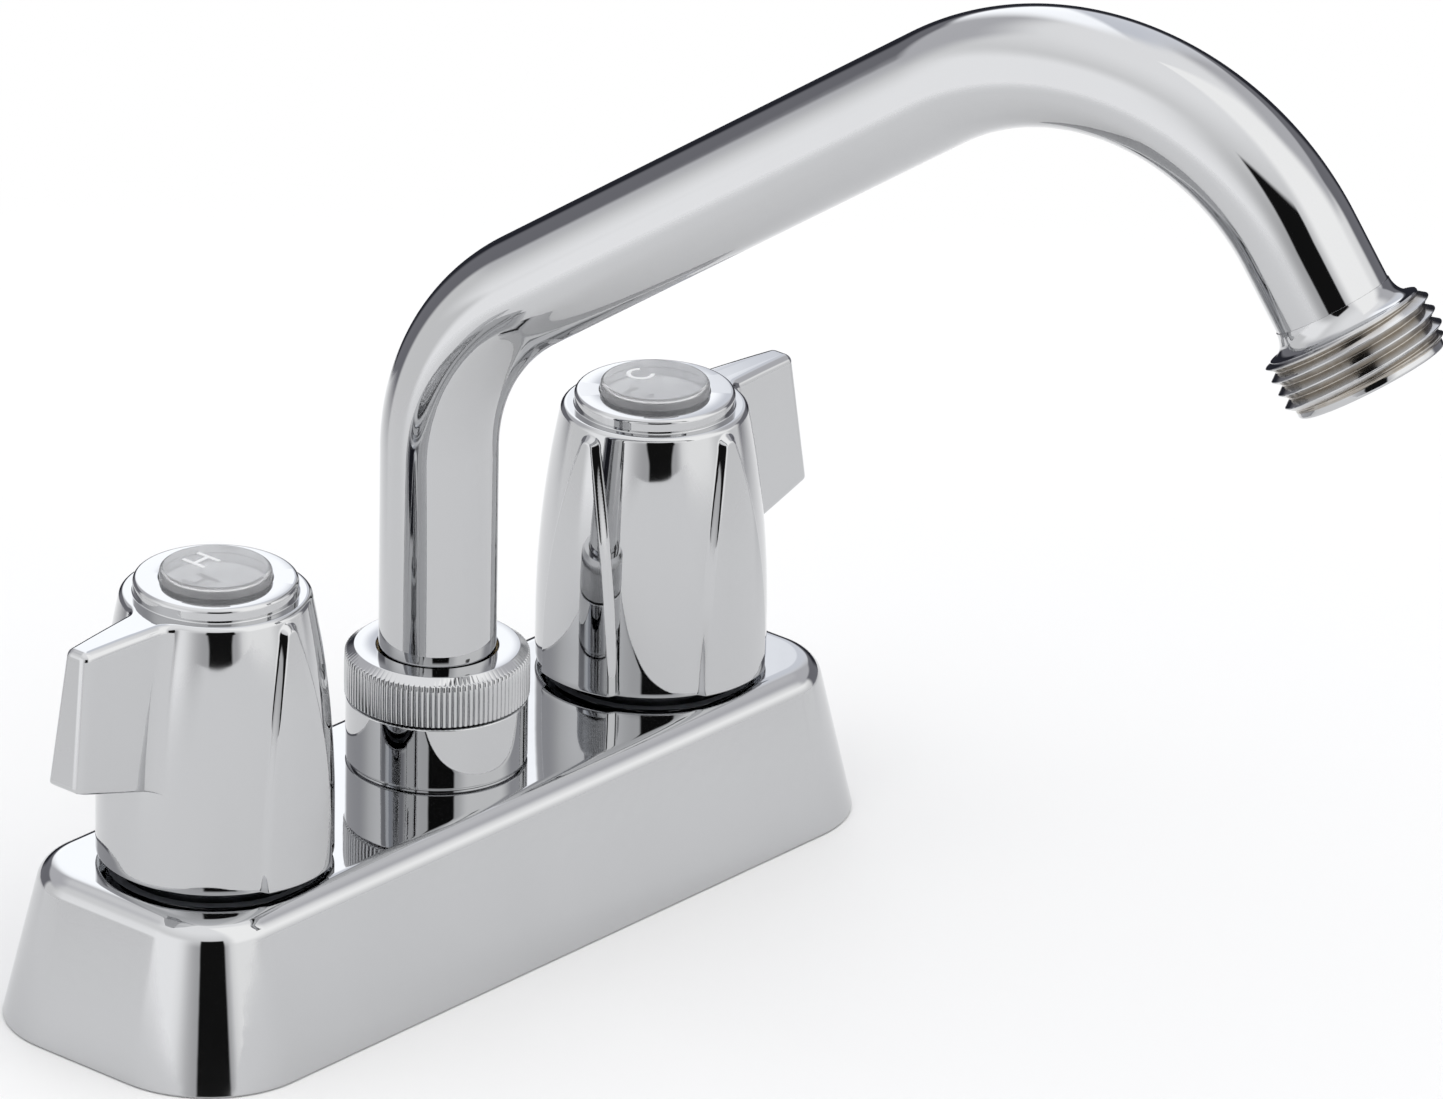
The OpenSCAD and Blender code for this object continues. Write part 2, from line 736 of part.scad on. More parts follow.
// Chromed handle with its lever pointing away from the spout
module handle(side) {
  color(chrome) at_valve(side) rotate([0, 0, side == HOT ? 180 : 0]) difference() {
    union() {
      handle_turning();
      for (a = [90, 180, 270])
        rotate([0, 0, a]) arch_panel();
      lever_blade();
    }
    rod(cavity_r, handle_rim - cut, cavity_top);
    drive(joint_fit, cavity_top - cut, stem_top);
    rod(screw_d / 2 + joint_fit, stem_top - cut, screw_seat + cut);
    rod(screw_head_r + pass_gap, screw_seat, disc_top);
    rod(button_r + joint_fit, button_floor, disc_top + cut);
  }
}

// Clear cap that covers the handle screw
module index_button(side) {
  top = disc_top + button_stand;
  color(acrylic) at_valve(side) {
    rod(button_r, button_floor, top - button_edge);
    translate([0, 0, top - button_edge])
      cylinder(r1 = button_r, r2 = button_r - button_edge, h = button_edge);
  }
}

// Slotted screw that holds a handle on its stem
module handle_screw(side) {
  head_top = screw_seat + screw_head_h;
  color(steel) at_valve(side) difference() {
    union() {
      rod(screw_d / 2, screw_seat - screw_l, screw_seat);
      rod(screw_head_r, screw_seat, head_top);
    }
    translate([0, 0, head_top]) cube([3 * screw_head_r, screw_slot_w, screw_head_h], center = true);
  }
}

// Brass stem with its collar, driving flats and port disc
module stem(side) {
  ring_z = (plug_z + neck_top) / 2;
  color(brass) at_valve(side) difference() {
    union() {
      rod(chamber_r - pass_gap, port_disc_z, port_disc_z + port_disc_t);
      rod(stem_shaft_r, port_disc_z, collar_top);
      rod(stem_collar_r, collar_top - stem_collar_h, collar_top);
      rod(stem_r, collar_top, cavity_top);
      drive(0, cavity_top, stem_top);
    }
    translate([-side * port_offset, 0, 0]) rod(port_r, port_disc_z - cut, port_disc_z + port_disc_t + cut);
    rod(screw_d / 2 + joint_fit, screw_seat - screw_l - cut, stem_top + cut);
    translate([0, 0, ring_z]) pipe(stem_r + cut, stem_r - 2 * o_ring_r, -o_ring_r, o_ring_r);
  }
}

// Rubber ring in the stem's groove
module stem_o_ring(side) {
  at_valve(side) ring(stem_r - o_ring_r, (plug_z + neck_top) / 2);
}

escutcheon();
base_gasket();
waterway_body();
spout_hub();
coupling_nut();
lower_slip_ring();
upper_slip_ring();
inlet_shank(HOT);  // hot_inlet_shank
inlet_shank(COLD);  // cold_inlet_shank
fixing_washer(HOT);  // hot_fixing_washer
fixing_washer(COLD);  // cold_fixing_washer
fixing_nut(HOT);  // hot_fixing_nut
fixing_nut(COLD);  // cold_fixing_nut
clamp_nut(HOT);  // hot_clamp_nut
clamp_nut(COLD);  // cold_clamp_nut
bonnet_nut(HOT);  // hot_bonnet_nut
bonnet_nut(COLD);  // cold_bonnet_nut
valve_seat(HOT);  // hot_valve_seat
valve_seat(COLD);  // cold_valve_seat
seat_spring(HOT);  // hot_seat_spring
seat_spring(COLD);  // cold_seat_spring
spout_tube();
spout_spigot();
hose_end();
ring(tube_r - o_ring_r, spigot_ring_z(1));  // upper_o_ring
ring(tube_r - o_ring_r, spigot_ring_z(0));  // lower_o_ring
handle(HOT);  // hot_handle
index_button(HOT);  // hot_index_button
handle_screw(HOT);  // hot_handle_screw
stem(HOT);  // hot_stem
stem_o_ring(HOT);  // hot_stem_o_ring
handle(COLD);  // cold_handle
index_button(COLD);  // cold_index_button
handle_screw(COLD);  // cold_handle_screw
stem(COLD);  // cold_stem
stem_o_ring(COLD);  // cold_stem_o_ring
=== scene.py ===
"""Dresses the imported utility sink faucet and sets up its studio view.

Every new piece is a surface worked out in millimetres as whole numpy arrays, in the frame of the
CAD model: the origin is the centre of the base on the deck, +Z is up and the user stands at -Y.
"""

import json
import math

import bmesh
import bpy
import numpy as np
from bpy.props import FloatProperty, FloatVectorProperty, IntProperty, PointerProperty
from bpy.types import NodeSocket, Operator, Panel, PropertyGroup
from mathutils import Matrix, Vector


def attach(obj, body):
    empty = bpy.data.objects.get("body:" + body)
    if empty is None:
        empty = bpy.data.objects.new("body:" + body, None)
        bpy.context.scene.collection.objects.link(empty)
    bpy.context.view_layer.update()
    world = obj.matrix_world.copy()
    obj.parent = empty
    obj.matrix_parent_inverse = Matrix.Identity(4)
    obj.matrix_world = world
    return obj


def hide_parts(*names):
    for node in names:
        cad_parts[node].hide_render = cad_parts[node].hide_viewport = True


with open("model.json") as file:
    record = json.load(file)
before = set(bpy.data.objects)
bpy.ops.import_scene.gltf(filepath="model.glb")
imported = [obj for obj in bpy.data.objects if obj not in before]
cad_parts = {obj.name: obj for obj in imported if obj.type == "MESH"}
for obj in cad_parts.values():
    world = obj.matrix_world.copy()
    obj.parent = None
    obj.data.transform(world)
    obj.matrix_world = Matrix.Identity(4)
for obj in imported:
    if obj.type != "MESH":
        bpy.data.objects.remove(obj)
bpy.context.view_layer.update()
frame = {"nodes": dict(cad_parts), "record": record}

bl_info = {
    "name": "Utility sink faucet",
    "version": (1, 0, 0),
    "blender": (4, 5, 0),
    "location": "View3D > Sidebar > Faucet",
    "description": "Builds the surfaces, finishes and studio view of a two-handle sink faucet",
    "category": "Object",
}

MM = 0.001
TURN = 2 * math.pi
QUARTER = math.pi / 2
SIDES = ((-1, "hot"), (1, "cold"))
UP = np.array([0, 0, 1.0])
WHITE = (1.0, 1.0, 1.0)


def length(name, text, mm):
    """A size that is shown in the scene's length unit and given here in millimetres."""
    return FloatProperty(name=name, description=text, default=mm * MM, unit="LENGTH", precision=5)


def angle(name, text, degrees):
    """An angle that is given here in degrees."""
    return FloatProperty(name=name, description=text, default=math.radians(degrees),
                         unit="ROTATION")


def share(name, text, value):
    """A plain number from 0 to 1."""
    return FloatProperty(name=name, description=text, default=value, min=0.0, max=1.0, precision=4)


def tint(name, text, rgb):
    """A colour of a finish, in linear light."""
    return FloatVectorProperty(name=name, description=text, default=rgb, size=3, subtype="COLOR",
                               min=0.0, max=1.0)


class FaucetBase(PropertyGroup):
    """Sizes of the base, hub and coupling nut."""

    base_l: length("Base length", "Length of the base along X", 161)
    base_w: length("Base depth", "Depth of the base along Y", 55.4)
    base_h: length("Base height", "Height of the base above the deck", 26.2)
    corner_r: length("Corner radius", "Radius of the base's corners at the deck", 18)
    lean: length("Lean", "How far each side leans in from deck to top", 6.2)
    edge_r: length("Top edge", "Rounding of the base's top edge", 4)
    wall: length("Wall", "Wall of the base shell", 2)
    valve_x: length("Valve offset", "Distance of each valve's axis from the middle", 50.8)
    valve_hole_r: length("Valve hole", "Radius of the shell's holes for the valve necks", 12.25)
    hub_hole_r: length("Hub hole", "Radius of the shell's hole for the hub", 10.8)
    hub_r: length("Hub radius", "Outside radius of the hub", 14.4)
    hub_top: length("Hub shoulder", "Height of the hub's shoulder above the deck", 36.9)
    nut_r: length("Nut radius", "Radius over the nut's knurl ridges", 14.65)
    nut_top: length("Nut top", "Height of the nut's top above the deck", 45.4)
    knurl_count: IntProperty(name="Knurl ridges", description="Ridges round the coupling nut",
                             default=104)
    knurl_depth: length("Knurl depth", "Depth of the knurl", 0.4)
    clamp_r: length("Clamp nut radius", "Outside radius of the ring nuts under the handles", 14.35)


class FaucetSpout(PropertyGroup):
    """Sizes of the bent spout and its hose thread."""

    tube_r: length("Tube radius", "Outside radius of the spout tube", 9.3)
    tube_wall: length("Tube wall", "Wall of the spout tube", 1.4)
    foot_z: length("Tube foot", "Height of the tube's lower end", 43.55)
    leg_top: length("Leg top", "Height where the upright leg starts to bend", 79.27)
    lower_bend_r: length("Lower bend", "Bend radius of the centre line above the leg", 35.9)
    arm_climb: angle("Arm climb", "Climb of the arm from level", 34.5)
    arm_l: length("Arm length", "Straight length of the arm", 84.4)
    upper_bend_r: length("Upper bend", "Bend radius of the centre line at the top", 43.2)
    outlet_dip: angle("Outlet dip", "How far the outlet points down from level", 57.4)
    tail_l: length("Tail", "Straight length of tube after the upper bend", 17)
    turn: angle("Spout turn", "Turn from straight ahead towards the cold side", 13.6)
    socket: length("Socket", "Depth of the tube inside the hose end", 6)
    flare_l: length("Flare", "Length of the flare between tube and thread", 3.4)
    thread_r: length("Thread radius", "Radius over the thread's crests", 13.45)
    thread_depth: length("Thread depth", "Depth of the thread", 1.25)
    thread_pitch: length("Thread pitch", "Distance from crest to crest", 2.209)
    thread_l: length("Thread length", "Length from the first to the last crest", 6.927)
    lead_l: length("Plain end", "Plain end below the last crest", 1.3)
    mouth_r: length("Mouth radius", "Bore of the outlet", 8.2)


class FaucetHandle(PropertyGroup):
    """Sizes of a handle with its lever, cap and letter."""

    rim_z: length("Rim", "Height of the skirt's rim above the deck", 27.5)
    shoulder_z: length("Shoulder", "Height of the shoulder above the deck", 70.9)
    skirt_r: length("Skirt radius", "Radius of the skirt", 18.55)
    skirt_h: length("Skirt height", "Straight height of the skirt", 7.2)
    flank_r: length("Flank radius", "Radius of the bulging flank", 178)
    edge_r: length("Shoulder edge", "Rounding of the shoulder", 0.8)
    lever_edge_r: length("Lever edge", "Rounding of the lever's top edges", 1.25)
    crown: length("Lever crown", "How far the lever's top falls from the body to the tip", 0.45)
    disc_r: length("Disc radius", "Radius of the raised disc", 12.85)
    disc_h: length("Disc height", "Height of the raised disc", 2.3)
    arch_w: length("Arch width", "Width of an arch panel at the rim", 14.8)
    arch_side_r: length("Arch sides", "Radius of an arch panel's sides", 142)
    arch_top_gap: length("Arch top", "Distance of an arch panel's top below the shoulder", 1.8)
    arch_height: length("Arch height", "Height of the arch panels above the flank", 1.0)
    arch_step: length("Arch step", "Width of the rounded step at an arch panel's edge", 1.36)
    cavity_r: length("Cavity", "Radius of the hollow under the skirt", 15.2)
    cavity_top: length("Cavity top", "Height where the hollow under the skirt ends", 47.6)
    socket_r: length("Stem socket", "Radius of the stem's socket", 6.05)
    socket_top: length("Socket top", "Height of the stem socket's end", 66.25)
    reach_top: length("Reach at top", "Reach of the lever from its axis at the top", 31)
    reach_foot: length("Reach at foot", "Reach of the lever from its axis at the bottom", 34)
    tip_h: length("Tip height", "Height of the lever's tip", 22.4)
    underside: share("Underside", "Rise of the lever's underside for each unit outwards", 0.2857)
    tip_top: length("Tip thickness at top", "Thickness of the lever's tip at the top", 4.4)
    tip_foot: length("Tip thickness at foot", "Thickness of the lever's tip at the bottom", 6.9)
    taper_top: share("Taper at top", "Loss of half thickness per unit out at the top", 0.110)
    taper_foot: share("Taper at foot", "Loss of half thickness per unit out at the foot", 0.0324)
    fillet_r: length("Root fillet", "Fillet between the lever and the body", 3.2)
    tip_edge_r: length("Tip edges", "Rounding of the lever's upright edges", 1.4)
    foot_edge_r: length("Foot edges", "Rounding of the lever's lower edges", 0.45)
    cap_r: length("Cap radius", "Radius of the clear index cap", 8.75)
    cap_foot: length("Cap foot", "Height of the cap's underside", 70.0)
    cap_top: length("Cap top", "Height of the cap's top", 75.0)
    cap_edge_r: length("Cap edge", "Rounding of the cap's top edge", 0.8)
    letter_h: length("Letter height", "Height of the letter on a cap", 4.6)
    letter_y: length("Letter place", "Distance of the letter behind the cap's middle", 3.1)


class FaucetFinish(PropertyGroup):
    """Colours of the finishes."""

    chrome: tint("Chrome", "Mirror chrome plate", (0.540, 0.545, 0.554))
    thread_root: tint("Thread root", "Thin plate over brass in the roots", (0.35, 0.32, 0.28))
    casting: tint("Bare casting", "Unplated grey inside of the handles", (0.36, 0.38, 0.42))
    brass: tint("Brass", "Turned and cast brass", (0.78, 0.58, 0.26))
    steel: tint("Steel", "Plain stainless steel", (0.60, 0.61, 0.62))
    rubber: tint("Rubber", "Black rubber", (0.022, 0.022, 0.024))
    nylon: tint("Nylon", "White nylon", (0.80, 0.79, 0.76))
    cap: tint("Cap", "Clear grey acrylic", (0.90, 0.905, 0.92))
    letter: tint("Letter", "Frosted letter in the cap", (0.74, 0.745, 0.755))


class FaucetStudio(PropertyGroup):
    """Camera, deck and lamp."""

    camera_at: FloatVectorProperty(name="Camera", description="Place of the camera", size=3,
                                   unit="LENGTH", default=(-1.40769, -1.27797, 0.89764))
    azimuth: angle("Azimuth", "Direction that the camera looks from", -49.1015)
    elevation: angle("Elevation", "How far the camera looks down", 23.7196)
    roll: angle("Roll", "Turn of the picture", 1.1407)
    lens: FloatProperty(name="Lens", description="Focal length on a 36 mm wide sensor",
                        default=330.73, subtype="DISTANCE_CAMERA")
    deck_back: length("Deck behind", "How far the deck reaches behind the faucet", 240)
    deck_front: length("Deck in front", "How far the deck reaches towards the camera", 780)
    deck_left: length("Deck to the left", "How far the full deck reaches to the left", 90)
    deck_right: length("Deck to the right", "How far the full deck reaches to the right", 100)
    deck_spread: share("Deck spread", "How much further right it reaches per unit forwards", 0.45)
    deck_soft: length("Deck edge", "Width of the deck's soft edge in front and behind", 60)
    deck_side_soft: length("Deck sides", "Width of the deck's soft edge on the left and right", 300)
    deck_white: share("Deck white", "Lightness of the deck", 0.86)
    lamp_power: FloatProperty(name="Lamp", description="Power of the soft lamp overhead",
                              default=2.0, unit="POWER")


class FaucetSettings(PropertyGroup):
    """All settings of the faucet."""

    base: PointerProperty(type=FaucetBase)
    spout: PointerProperty(type=FaucetSpout)
    handle: PointerProperty(type=FaucetHandle)
    finish: PointerProperty(type=FaucetFinish)
    studio: PointerProperty(type=FaucetStudio)


def settings():
    """The scene's faucet settings."""
    return bpy.context.scene.faucet


def sizes(group):
    """The group's values by name, with lengths turned from metres to millimetres."""
    values = {}
    for prop in group.bl_rna.properties:
        if prop.type in {"FLOAT", "INT"} and not getattr(prop, "is_array", False):
            value = getattr(group, prop.identifier)
            values[prop.identifier] = value / MM if prop.unit == "LENGTH" else value
    return values


# Surfaces

MERGE = 2e-7      # metres within which points become one
SLIVER = 1e-8     # metres under which an edge is dissolved
FLAT_WEIGHT = 80  # how far normals follow the larger faces


def points(*axes):
    """Coordinates, each an array or a number, joined into points of their common shape."""
    return np.stack(np.broadcast_arrays(*axes), -1)


def smooth_step(low, high, x):
    """0 below low, 1 above high, and an S-curve of the third degree between them."""
    t = np.clip((np.asarray(x, float) - low) / (high - low), 0, 1)
    return t * t * (3 - 2 * t)


def even_ramp(low, high, x, soft=0.28):
    """0 below low, 1 above high and a straight ramp between them whose ends are rounded by
    parabolas."""
    t = np.clip((np.asarray(x, float) - low) / (high - low), 0, 1)
    near = np.minimum(t, 1 - t)
    curved, straight = near ** 2 / (2 * soft * (1 - soft)), (near - soft / 2) / (1 - soft)
    rise = np.where(near < soft, curved, straight)
    return np.where(t < 0.5, rise, 1 - rise)


def rounded_profile(corners, steps=7):
    """A line through (r, z, rounding) corners; a rounded corner becomes a circle's arc that touches
    both sides."""
    spots = np.array([corner[:2] for corner in corners], float)
    runs = []
    for i, (_, _, radius) in enumerate(corners):
        here = spots[i]
        if radius <= 0 or i in (0, len(corners) - 1):
            runs.append(here[None])
            continue
        to_last = (spots[i - 1] - here) / np.linalg.norm(spots[i - 1] - here)
        to_next = (spots[i + 1] - here) / np.linalg.norm(spots[i + 1] - here)
        half = 0.5 * math.acos(np.clip(to_last @ to_next, -1, 1))
        middle = (to_last + to_next) / np.linalg.norm(to_last + to_next)
        centre = here + middle * radius / math.sin(half)
        start = here + to_last * radius / math.tan(half) - centre
        end = here + to_next * radius / math.tan(half) - centre
        first = math.atan2(start[1], start[0])
        sweep = (math.atan2(end[1], end[0]) - first + math.pi) % TURN - math.pi
        a = first + sweep * np.linspace(0, 1, steps + 1)
        runs.append(centre + radius * points(np.cos(a), np.sin(a)))
    return np.vstack(runs)


def turned(profile, steps, at_x=0, swell=0):
    """A profile (r, z) turned about an upright axis: point (i, j) is r_j out at the angle of step
    i, and z_j up. swell, a number for each point, is added to r."""
    a = np.arange(steps)[:, None] * TURN / steps
    r = profile[:, 0] + swell
    return points(at_x + np.cos(a) * r, np.sin(a) * r, profile[:, 1])


def grid_faces(rows, cols, close_rows, close_cols, start):
    """Corner numbers of the quads of a grid of rows by cols points, joined where it closes."""
    i = np.arange(rows if close_rows else rows - 1)
    j = np.arange(cols if close_cols else cols - 1)
    a, b = np.meshgrid(i, j, indexing="ij")
    after, beside = (a + 1) % rows, (b + 1) % cols
    quads = points(a * cols + b, after * cols + b, after * cols + beside, a * cols + beside)
    return quads.reshape(-1, 4) + start


def surface_mesh(name, patches, sharp=38.0, marks=None):
    """One mesh from patches of (grid in millimetres, closes along rows, closes along columns), with
    touching points merged. Each patch takes the finish of its own number. marks holds, by name, one
    number for each point, and becomes attributes."""
    spots, faces, finish, start = [], [], [], 0
    for number, (grid, close_rows, close_cols) in enumerate(patches):
        rows, cols = grid.shape[:2]
        faces.append(grid_faces(rows, cols, close_rows, close_cols, start))
        finish.append(np.full(len(faces[-1]), number, np.int32))
        spots.append(grid.reshape(-1, 3))
        start += rows * cols
    mesh = bpy.data.meshes.new(name)
    mesh.from_pydata((np.vstack(spots) * MM).tolist(), [], np.vstack(faces).tolist())
    mesh.polygons.foreach_set("material_index", np.concatenate(finish))
    for mark, values in (marks or {}).items():
        layer = mesh.attributes.new(mark, "FLOAT", "POINT")
        layer.data.foreach_set("value", np.asarray(values, np.float32).ravel())
    work = bmesh.new()
    work.from_mesh(mesh)
    bmesh.ops.remove_doubles(work, verts=work.verts, dist=MERGE)
    bmesh.ops.dissolve_degenerate(work, edges=work.edges, dist=SLIVER)
    work.to_mesh(mesh)
    work.free()
    mesh.shade_smooth()
    mesh.set_sharp_from_angle(angle=math.radians(sharp))
    return mesh


def add_piece(name, mesh, body, finishes, replaced=(), flat_faces=True):
    """Puts a mesh into the scene as a piece that rides on a body and stands for the replaced nodes.
    Patches past the last finish take that one. Normals follow the larger faces, so that flat faces
    stay flat beside their rounded edges."""
    piece = bpy.data.objects.new(name, mesh)
    bpy.context.scene.collection.objects.link(piece)
    for item in finishes:
        mesh.materials.append(item)
    index = np.empty(len(mesh.polygons), np.int32)
    mesh.polygons.foreach_get("material_index", index)
    mesh.polygons.foreach_set("material_index", np.minimum(index, len(finishes) - 1))
    if flat_faces:
        even = piece.modifiers.new("Flat faces", "WEIGHTED_NORMAL")
        even.keep_sharp = True
        even.weight = FLAT_WEIGHT
    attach(piece, body)
    if replaced:
        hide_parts(*replaced)
    return piece


# Finishes

MIX_FACTOR, MIX_FIRST, MIX_SECOND, MIX_RESULT = 0, 6, 7, 2  # sockets of a mix node for colours
NOISE_ROUGHNESS = 0.55
NOISE_LOW, NOISE_HIGH = 0.3, 0.7                            # range that most of a noise lies in


class NodeTree:
    """A node tree with short ways to add nodes; results are the nodes' output sockets."""

    def __init__(self, tree):
        self.tree = tree

    def node(self, kind, inputs=None, **values):
        """Adds a node with its own settings; inputs go by name or number."""
        made = self.tree.nodes.new("ShaderNode" + kind)
        for key, value in values.items():
            setattr(made, key, value)
        for key, value in (inputs or {}).items():
            self.feed(made.inputs[key], value)
        return made

    def feed(self, socket, value):
        """Gives an input another node's output, a colour or a number."""
        if isinstance(value, NodeSocket):
            self.tree.links.new(value, socket)
        else:
            socket.default_value = (*value, 1) if socket.type == "RGBA" else value

    def maths(self, operation, *values):
        """One maths node on numbers or other nodes' outputs."""
        return self.node("Math", dict(enumerate(values)), operation=operation).outputs[0]

    def product(self, *values):
        """All the values multiplied."""
        total = values[0]
        for item in values[1:]:
            total = self.maths("MULTIPLY", total, item)
        return total

    def degrees(self, operation, *values):
        """An angle function's result in degrees."""
        return self.maths("MULTIPLY", self.maths(operation, *values), 180 / math.pi)

    def spread(self, value, low, high, from_low=NOISE_LOW, from_high=NOISE_HIGH):
        """Maps a value to a range."""
        ends = {"From Min": from_low, "From Max": from_high, "To Min": low, "To Max": high}
        return self.node("MapRange", {"Value": value, **ends}).outputs["Result"]

    def step(self, low, high, value):
        """0 at low, 1 at high and an S-curve between them."""
        ends = {"From Min": low, "From Max": high}
        made = self.node("MapRange", {"Value": value, **ends}, interpolation_type="SMOOTHSTEP")
        return made.outputs["Result"]

    def fall(self, low, high, value):
        """1 at low, 0 at high and an S-curve between them."""
        return self.maths("SUBTRACT", 1.0, self.step(low, high, value))

    def band(self, value, rises, falls):
        """1 between two soft edges, each a pair of a low and a high end, and 0 outside them."""
        return self.product(self.step(*rises, value), self.fall(*falls, value))

    def blend(self, factor, first, second):
        """Mixes two colours, each a colour or another node's output."""
        inputs = {MIX_FACTOR: factor, MIX_FIRST: first, MIX_SECOND: second}
        return self.node("Mix", inputs, data_type="RGBA").outputs[MIX_RESULT]


class Finish(NodeTree):
    """A material, with what is the same all over set on its shader's own inputs. Their names have
    _ for a space."""

    def __init__(self, name, **constants):
        self.material = bpy.data.materials.new(name)
        self.material.use_nodes = True
        super().__init__(self.material.node_tree)
        self.shader = self.tree.nodes["Principled BSDF"]
        for key, value in constants.items():
            self.feed(self.shader.inputs[key.replace("_", " ")], value)

    def noise(self, scale, detail, stretch=(1, 1, 1)):
        """Noise on Object coordinates; scale is in grains for each metre."""
        place = self.node("TexCoord").outputs["Object"]
        fit = self.node("Mapping", {"Vector": place, "Scale": stretch}).outputs["Vector"]
        grain = {"Scale": scale, "Detail": detail, "Roughness": NOISE_ROUGHNESS}
        return self.node("TexNoise", {"Vector": fit, **grain}).outputs["Fac"]

    def tone(self, noise, colour, low, high):
        """Lets the colour vary with a noise, between a darker and a lighter shade of it."""
        shades = [tuple(min(1.0, c * factor) for c in colour) for factor in (low, high)]
        made = self.blend(self.spread(noise, 0, 1), *shades)
        self.feed(self.shader.inputs["Base Color"], made)

    def polish(self, noise, low, high):
        """Lets the roughness vary with a noise."""
        self.feed(self.shader.inputs["Roughness"], self.spread(noise, low, high))

    def bump(self, noise, strength, distance=0.0001):
        """Feeds a noise as a height to the shader's normal; distance is in metres."""
        made = self.node("Bump", {"Strength": strength, "Distance": distance, "Height": noise})
        self.feed(self.shader.inputs["Normal"], made.outputs["Normal"])


def chrome_plate():
    """Mirror chrome: polish that varies a little in broad wiped streaks and a faint ripple in the
    plate."""
    made = Finish("chrome_plate", Metallic=1.0)
    wipe = made.noise(38, 4.0, (1.0, 1.0, 0.35))
    made.tone(wipe, settings().finish.chrome, 0.985, 1.01)
    made.polish(wipe, 0.02, 0.045)
    made.bump(made.noise(210, 1.0), 0.018, 0.0004)
    return made.material


def thread_plate():
    """Chrome that thins to brownish brass where the attribute thread_root rises."""
    made = Finish("thread_plate", Metallic=1.0)
    finish = settings().finish
    root = made.node("Attribute", attribute_name="thread_root").outputs["Fac"]
    worn = made.product(root, made.spread(made.noise(900, 4.0), 0.75, 1.0))
    tone = made.blend(worn, tuple(finish.chrome), tuple(finish.thread_root))
    made.feed(made.shader.inputs["Base Color"], tone)
    made.feed(made.shader.inputs["Roughness"], made.spread(worn, 0.05, 0.17, 0, 1))
    return made.material


def turned_metal(name, colour, rough, grain):
    """Machined metal with fine turning marks round the upright axis, as bands in Z, and a slightly
    uneven tone."""
    made = Finish(name, Metallic=1.0)
    made.tone(made.noise(90, 4.0), colour, 0.85, 1.08)
    marks = made.noise(grain, 2.0, (0.02, 0.02, 1.0))
    made.polish(marks, rough * 0.75, rough * 1.3)
    made.bump(marks, 0.12)
    return made.material


def moulded(name, colour, rough, grain):
    """Moulded rubber or nylon, or a cast skin, with a fine grain and a slightly uneven tone."""
    made = Finish(name)
    made.tone(made.noise(140, 3.0), colour, 0.85, 1.15)
    skin = made.noise(grain, 3.0)
    made.polish(skin, rough * 0.9, rough * 1.1)
    made.bump(skin, 0.15)
    return made.material


def clear_cap():
    """Clear grey acrylic with a slightly cloudy body and fine scuffs."""
    made = Finish("clear_acrylic_cap", Transmission_Weight=0.84, IOR=1.49)
    made.tone(made.noise(420, 3.0), settings().finish.cap, 0.93, 1.05)
    scuff = made.noise(1500, 5.0)
    made.polish(scuff, 0.10, 0.20)
    made.bump(scuff, 0.03)
    return made.material


def frosted_letter():
    """Frosted white of the letter, with the grain of an etched mould."""
    made = Finish("frosted_letter")
    grain = made.noise(2200, 3.0)
    made.tone(grain, settings().finish.letter, 0.9, 1.04)
    made.polish(grain, 0.35, 0.55)
    return made.material


def finish_of(name, maker):
    """The finish of that name, made the first time it is asked for."""
    return bpy.data.materials.get(name) or maker()


def chrome():
    """The chrome plate that the visible pieces share."""
    return finish_of("chrome_plate", chrome_plate)


def acrylic():
    """The clear acrylic that both caps share."""
    return finish_of("clear_acrylic_cap", clear_cap)


# Base

LONG_POINTS, CORNER_POINTS, END_POINTS = 20, 19, 12   # along the runs round an end of the base
BACK_POINTS, DIVIDER_POINTS = 26, 16                  # between the ends
PLATE_ROWS = (0, 0.02, 0.06, 0.35, 0.7, 0.97, 1)      # from a plate's edge to its hole
FOOT_R = 0.35                                         # rounding under the outer wall


def base_outline(s):
    """The base's outline, counter-clockwise, as core points and outward directions: a point is the
    core plus the direction times a radius. The first run goes round the cold end, from the lower to
    the upper dividing line, and the second along the back to the other dividing line. A half turn
    of both gives the rest. The last result is the number of points in the first run."""
    split = s["valve_x"] / 2
    dx, dy = s["base_l"] / 2 - s["corner_r"], s["base_w"] / 2 - s["corner_r"]
    straight, end = np.linspace(split, dx, LONG_POINTS), np.linspace(-dy, dy, END_POINTS)
    corner = np.linspace(0, QUARTER, CORNER_POINTS)[1:-1]
    back = np.linspace(split, -split, BACK_POINTS)[1:-1]
    runs = [
        (straight, -dy, -QUARTER), (dx, -dy, corner - QUARTER), (dx, end, 0), (dx, dy, corner),
        (straight[::-1], dy, QUARTER), (back, dy, QUARTER),
    ]
    x, y, turn = np.vstack([points(*run) for run in runs]).T
    return points(x, y), points(np.cos(turn), np.sin(turn)), len(x) - len(back)


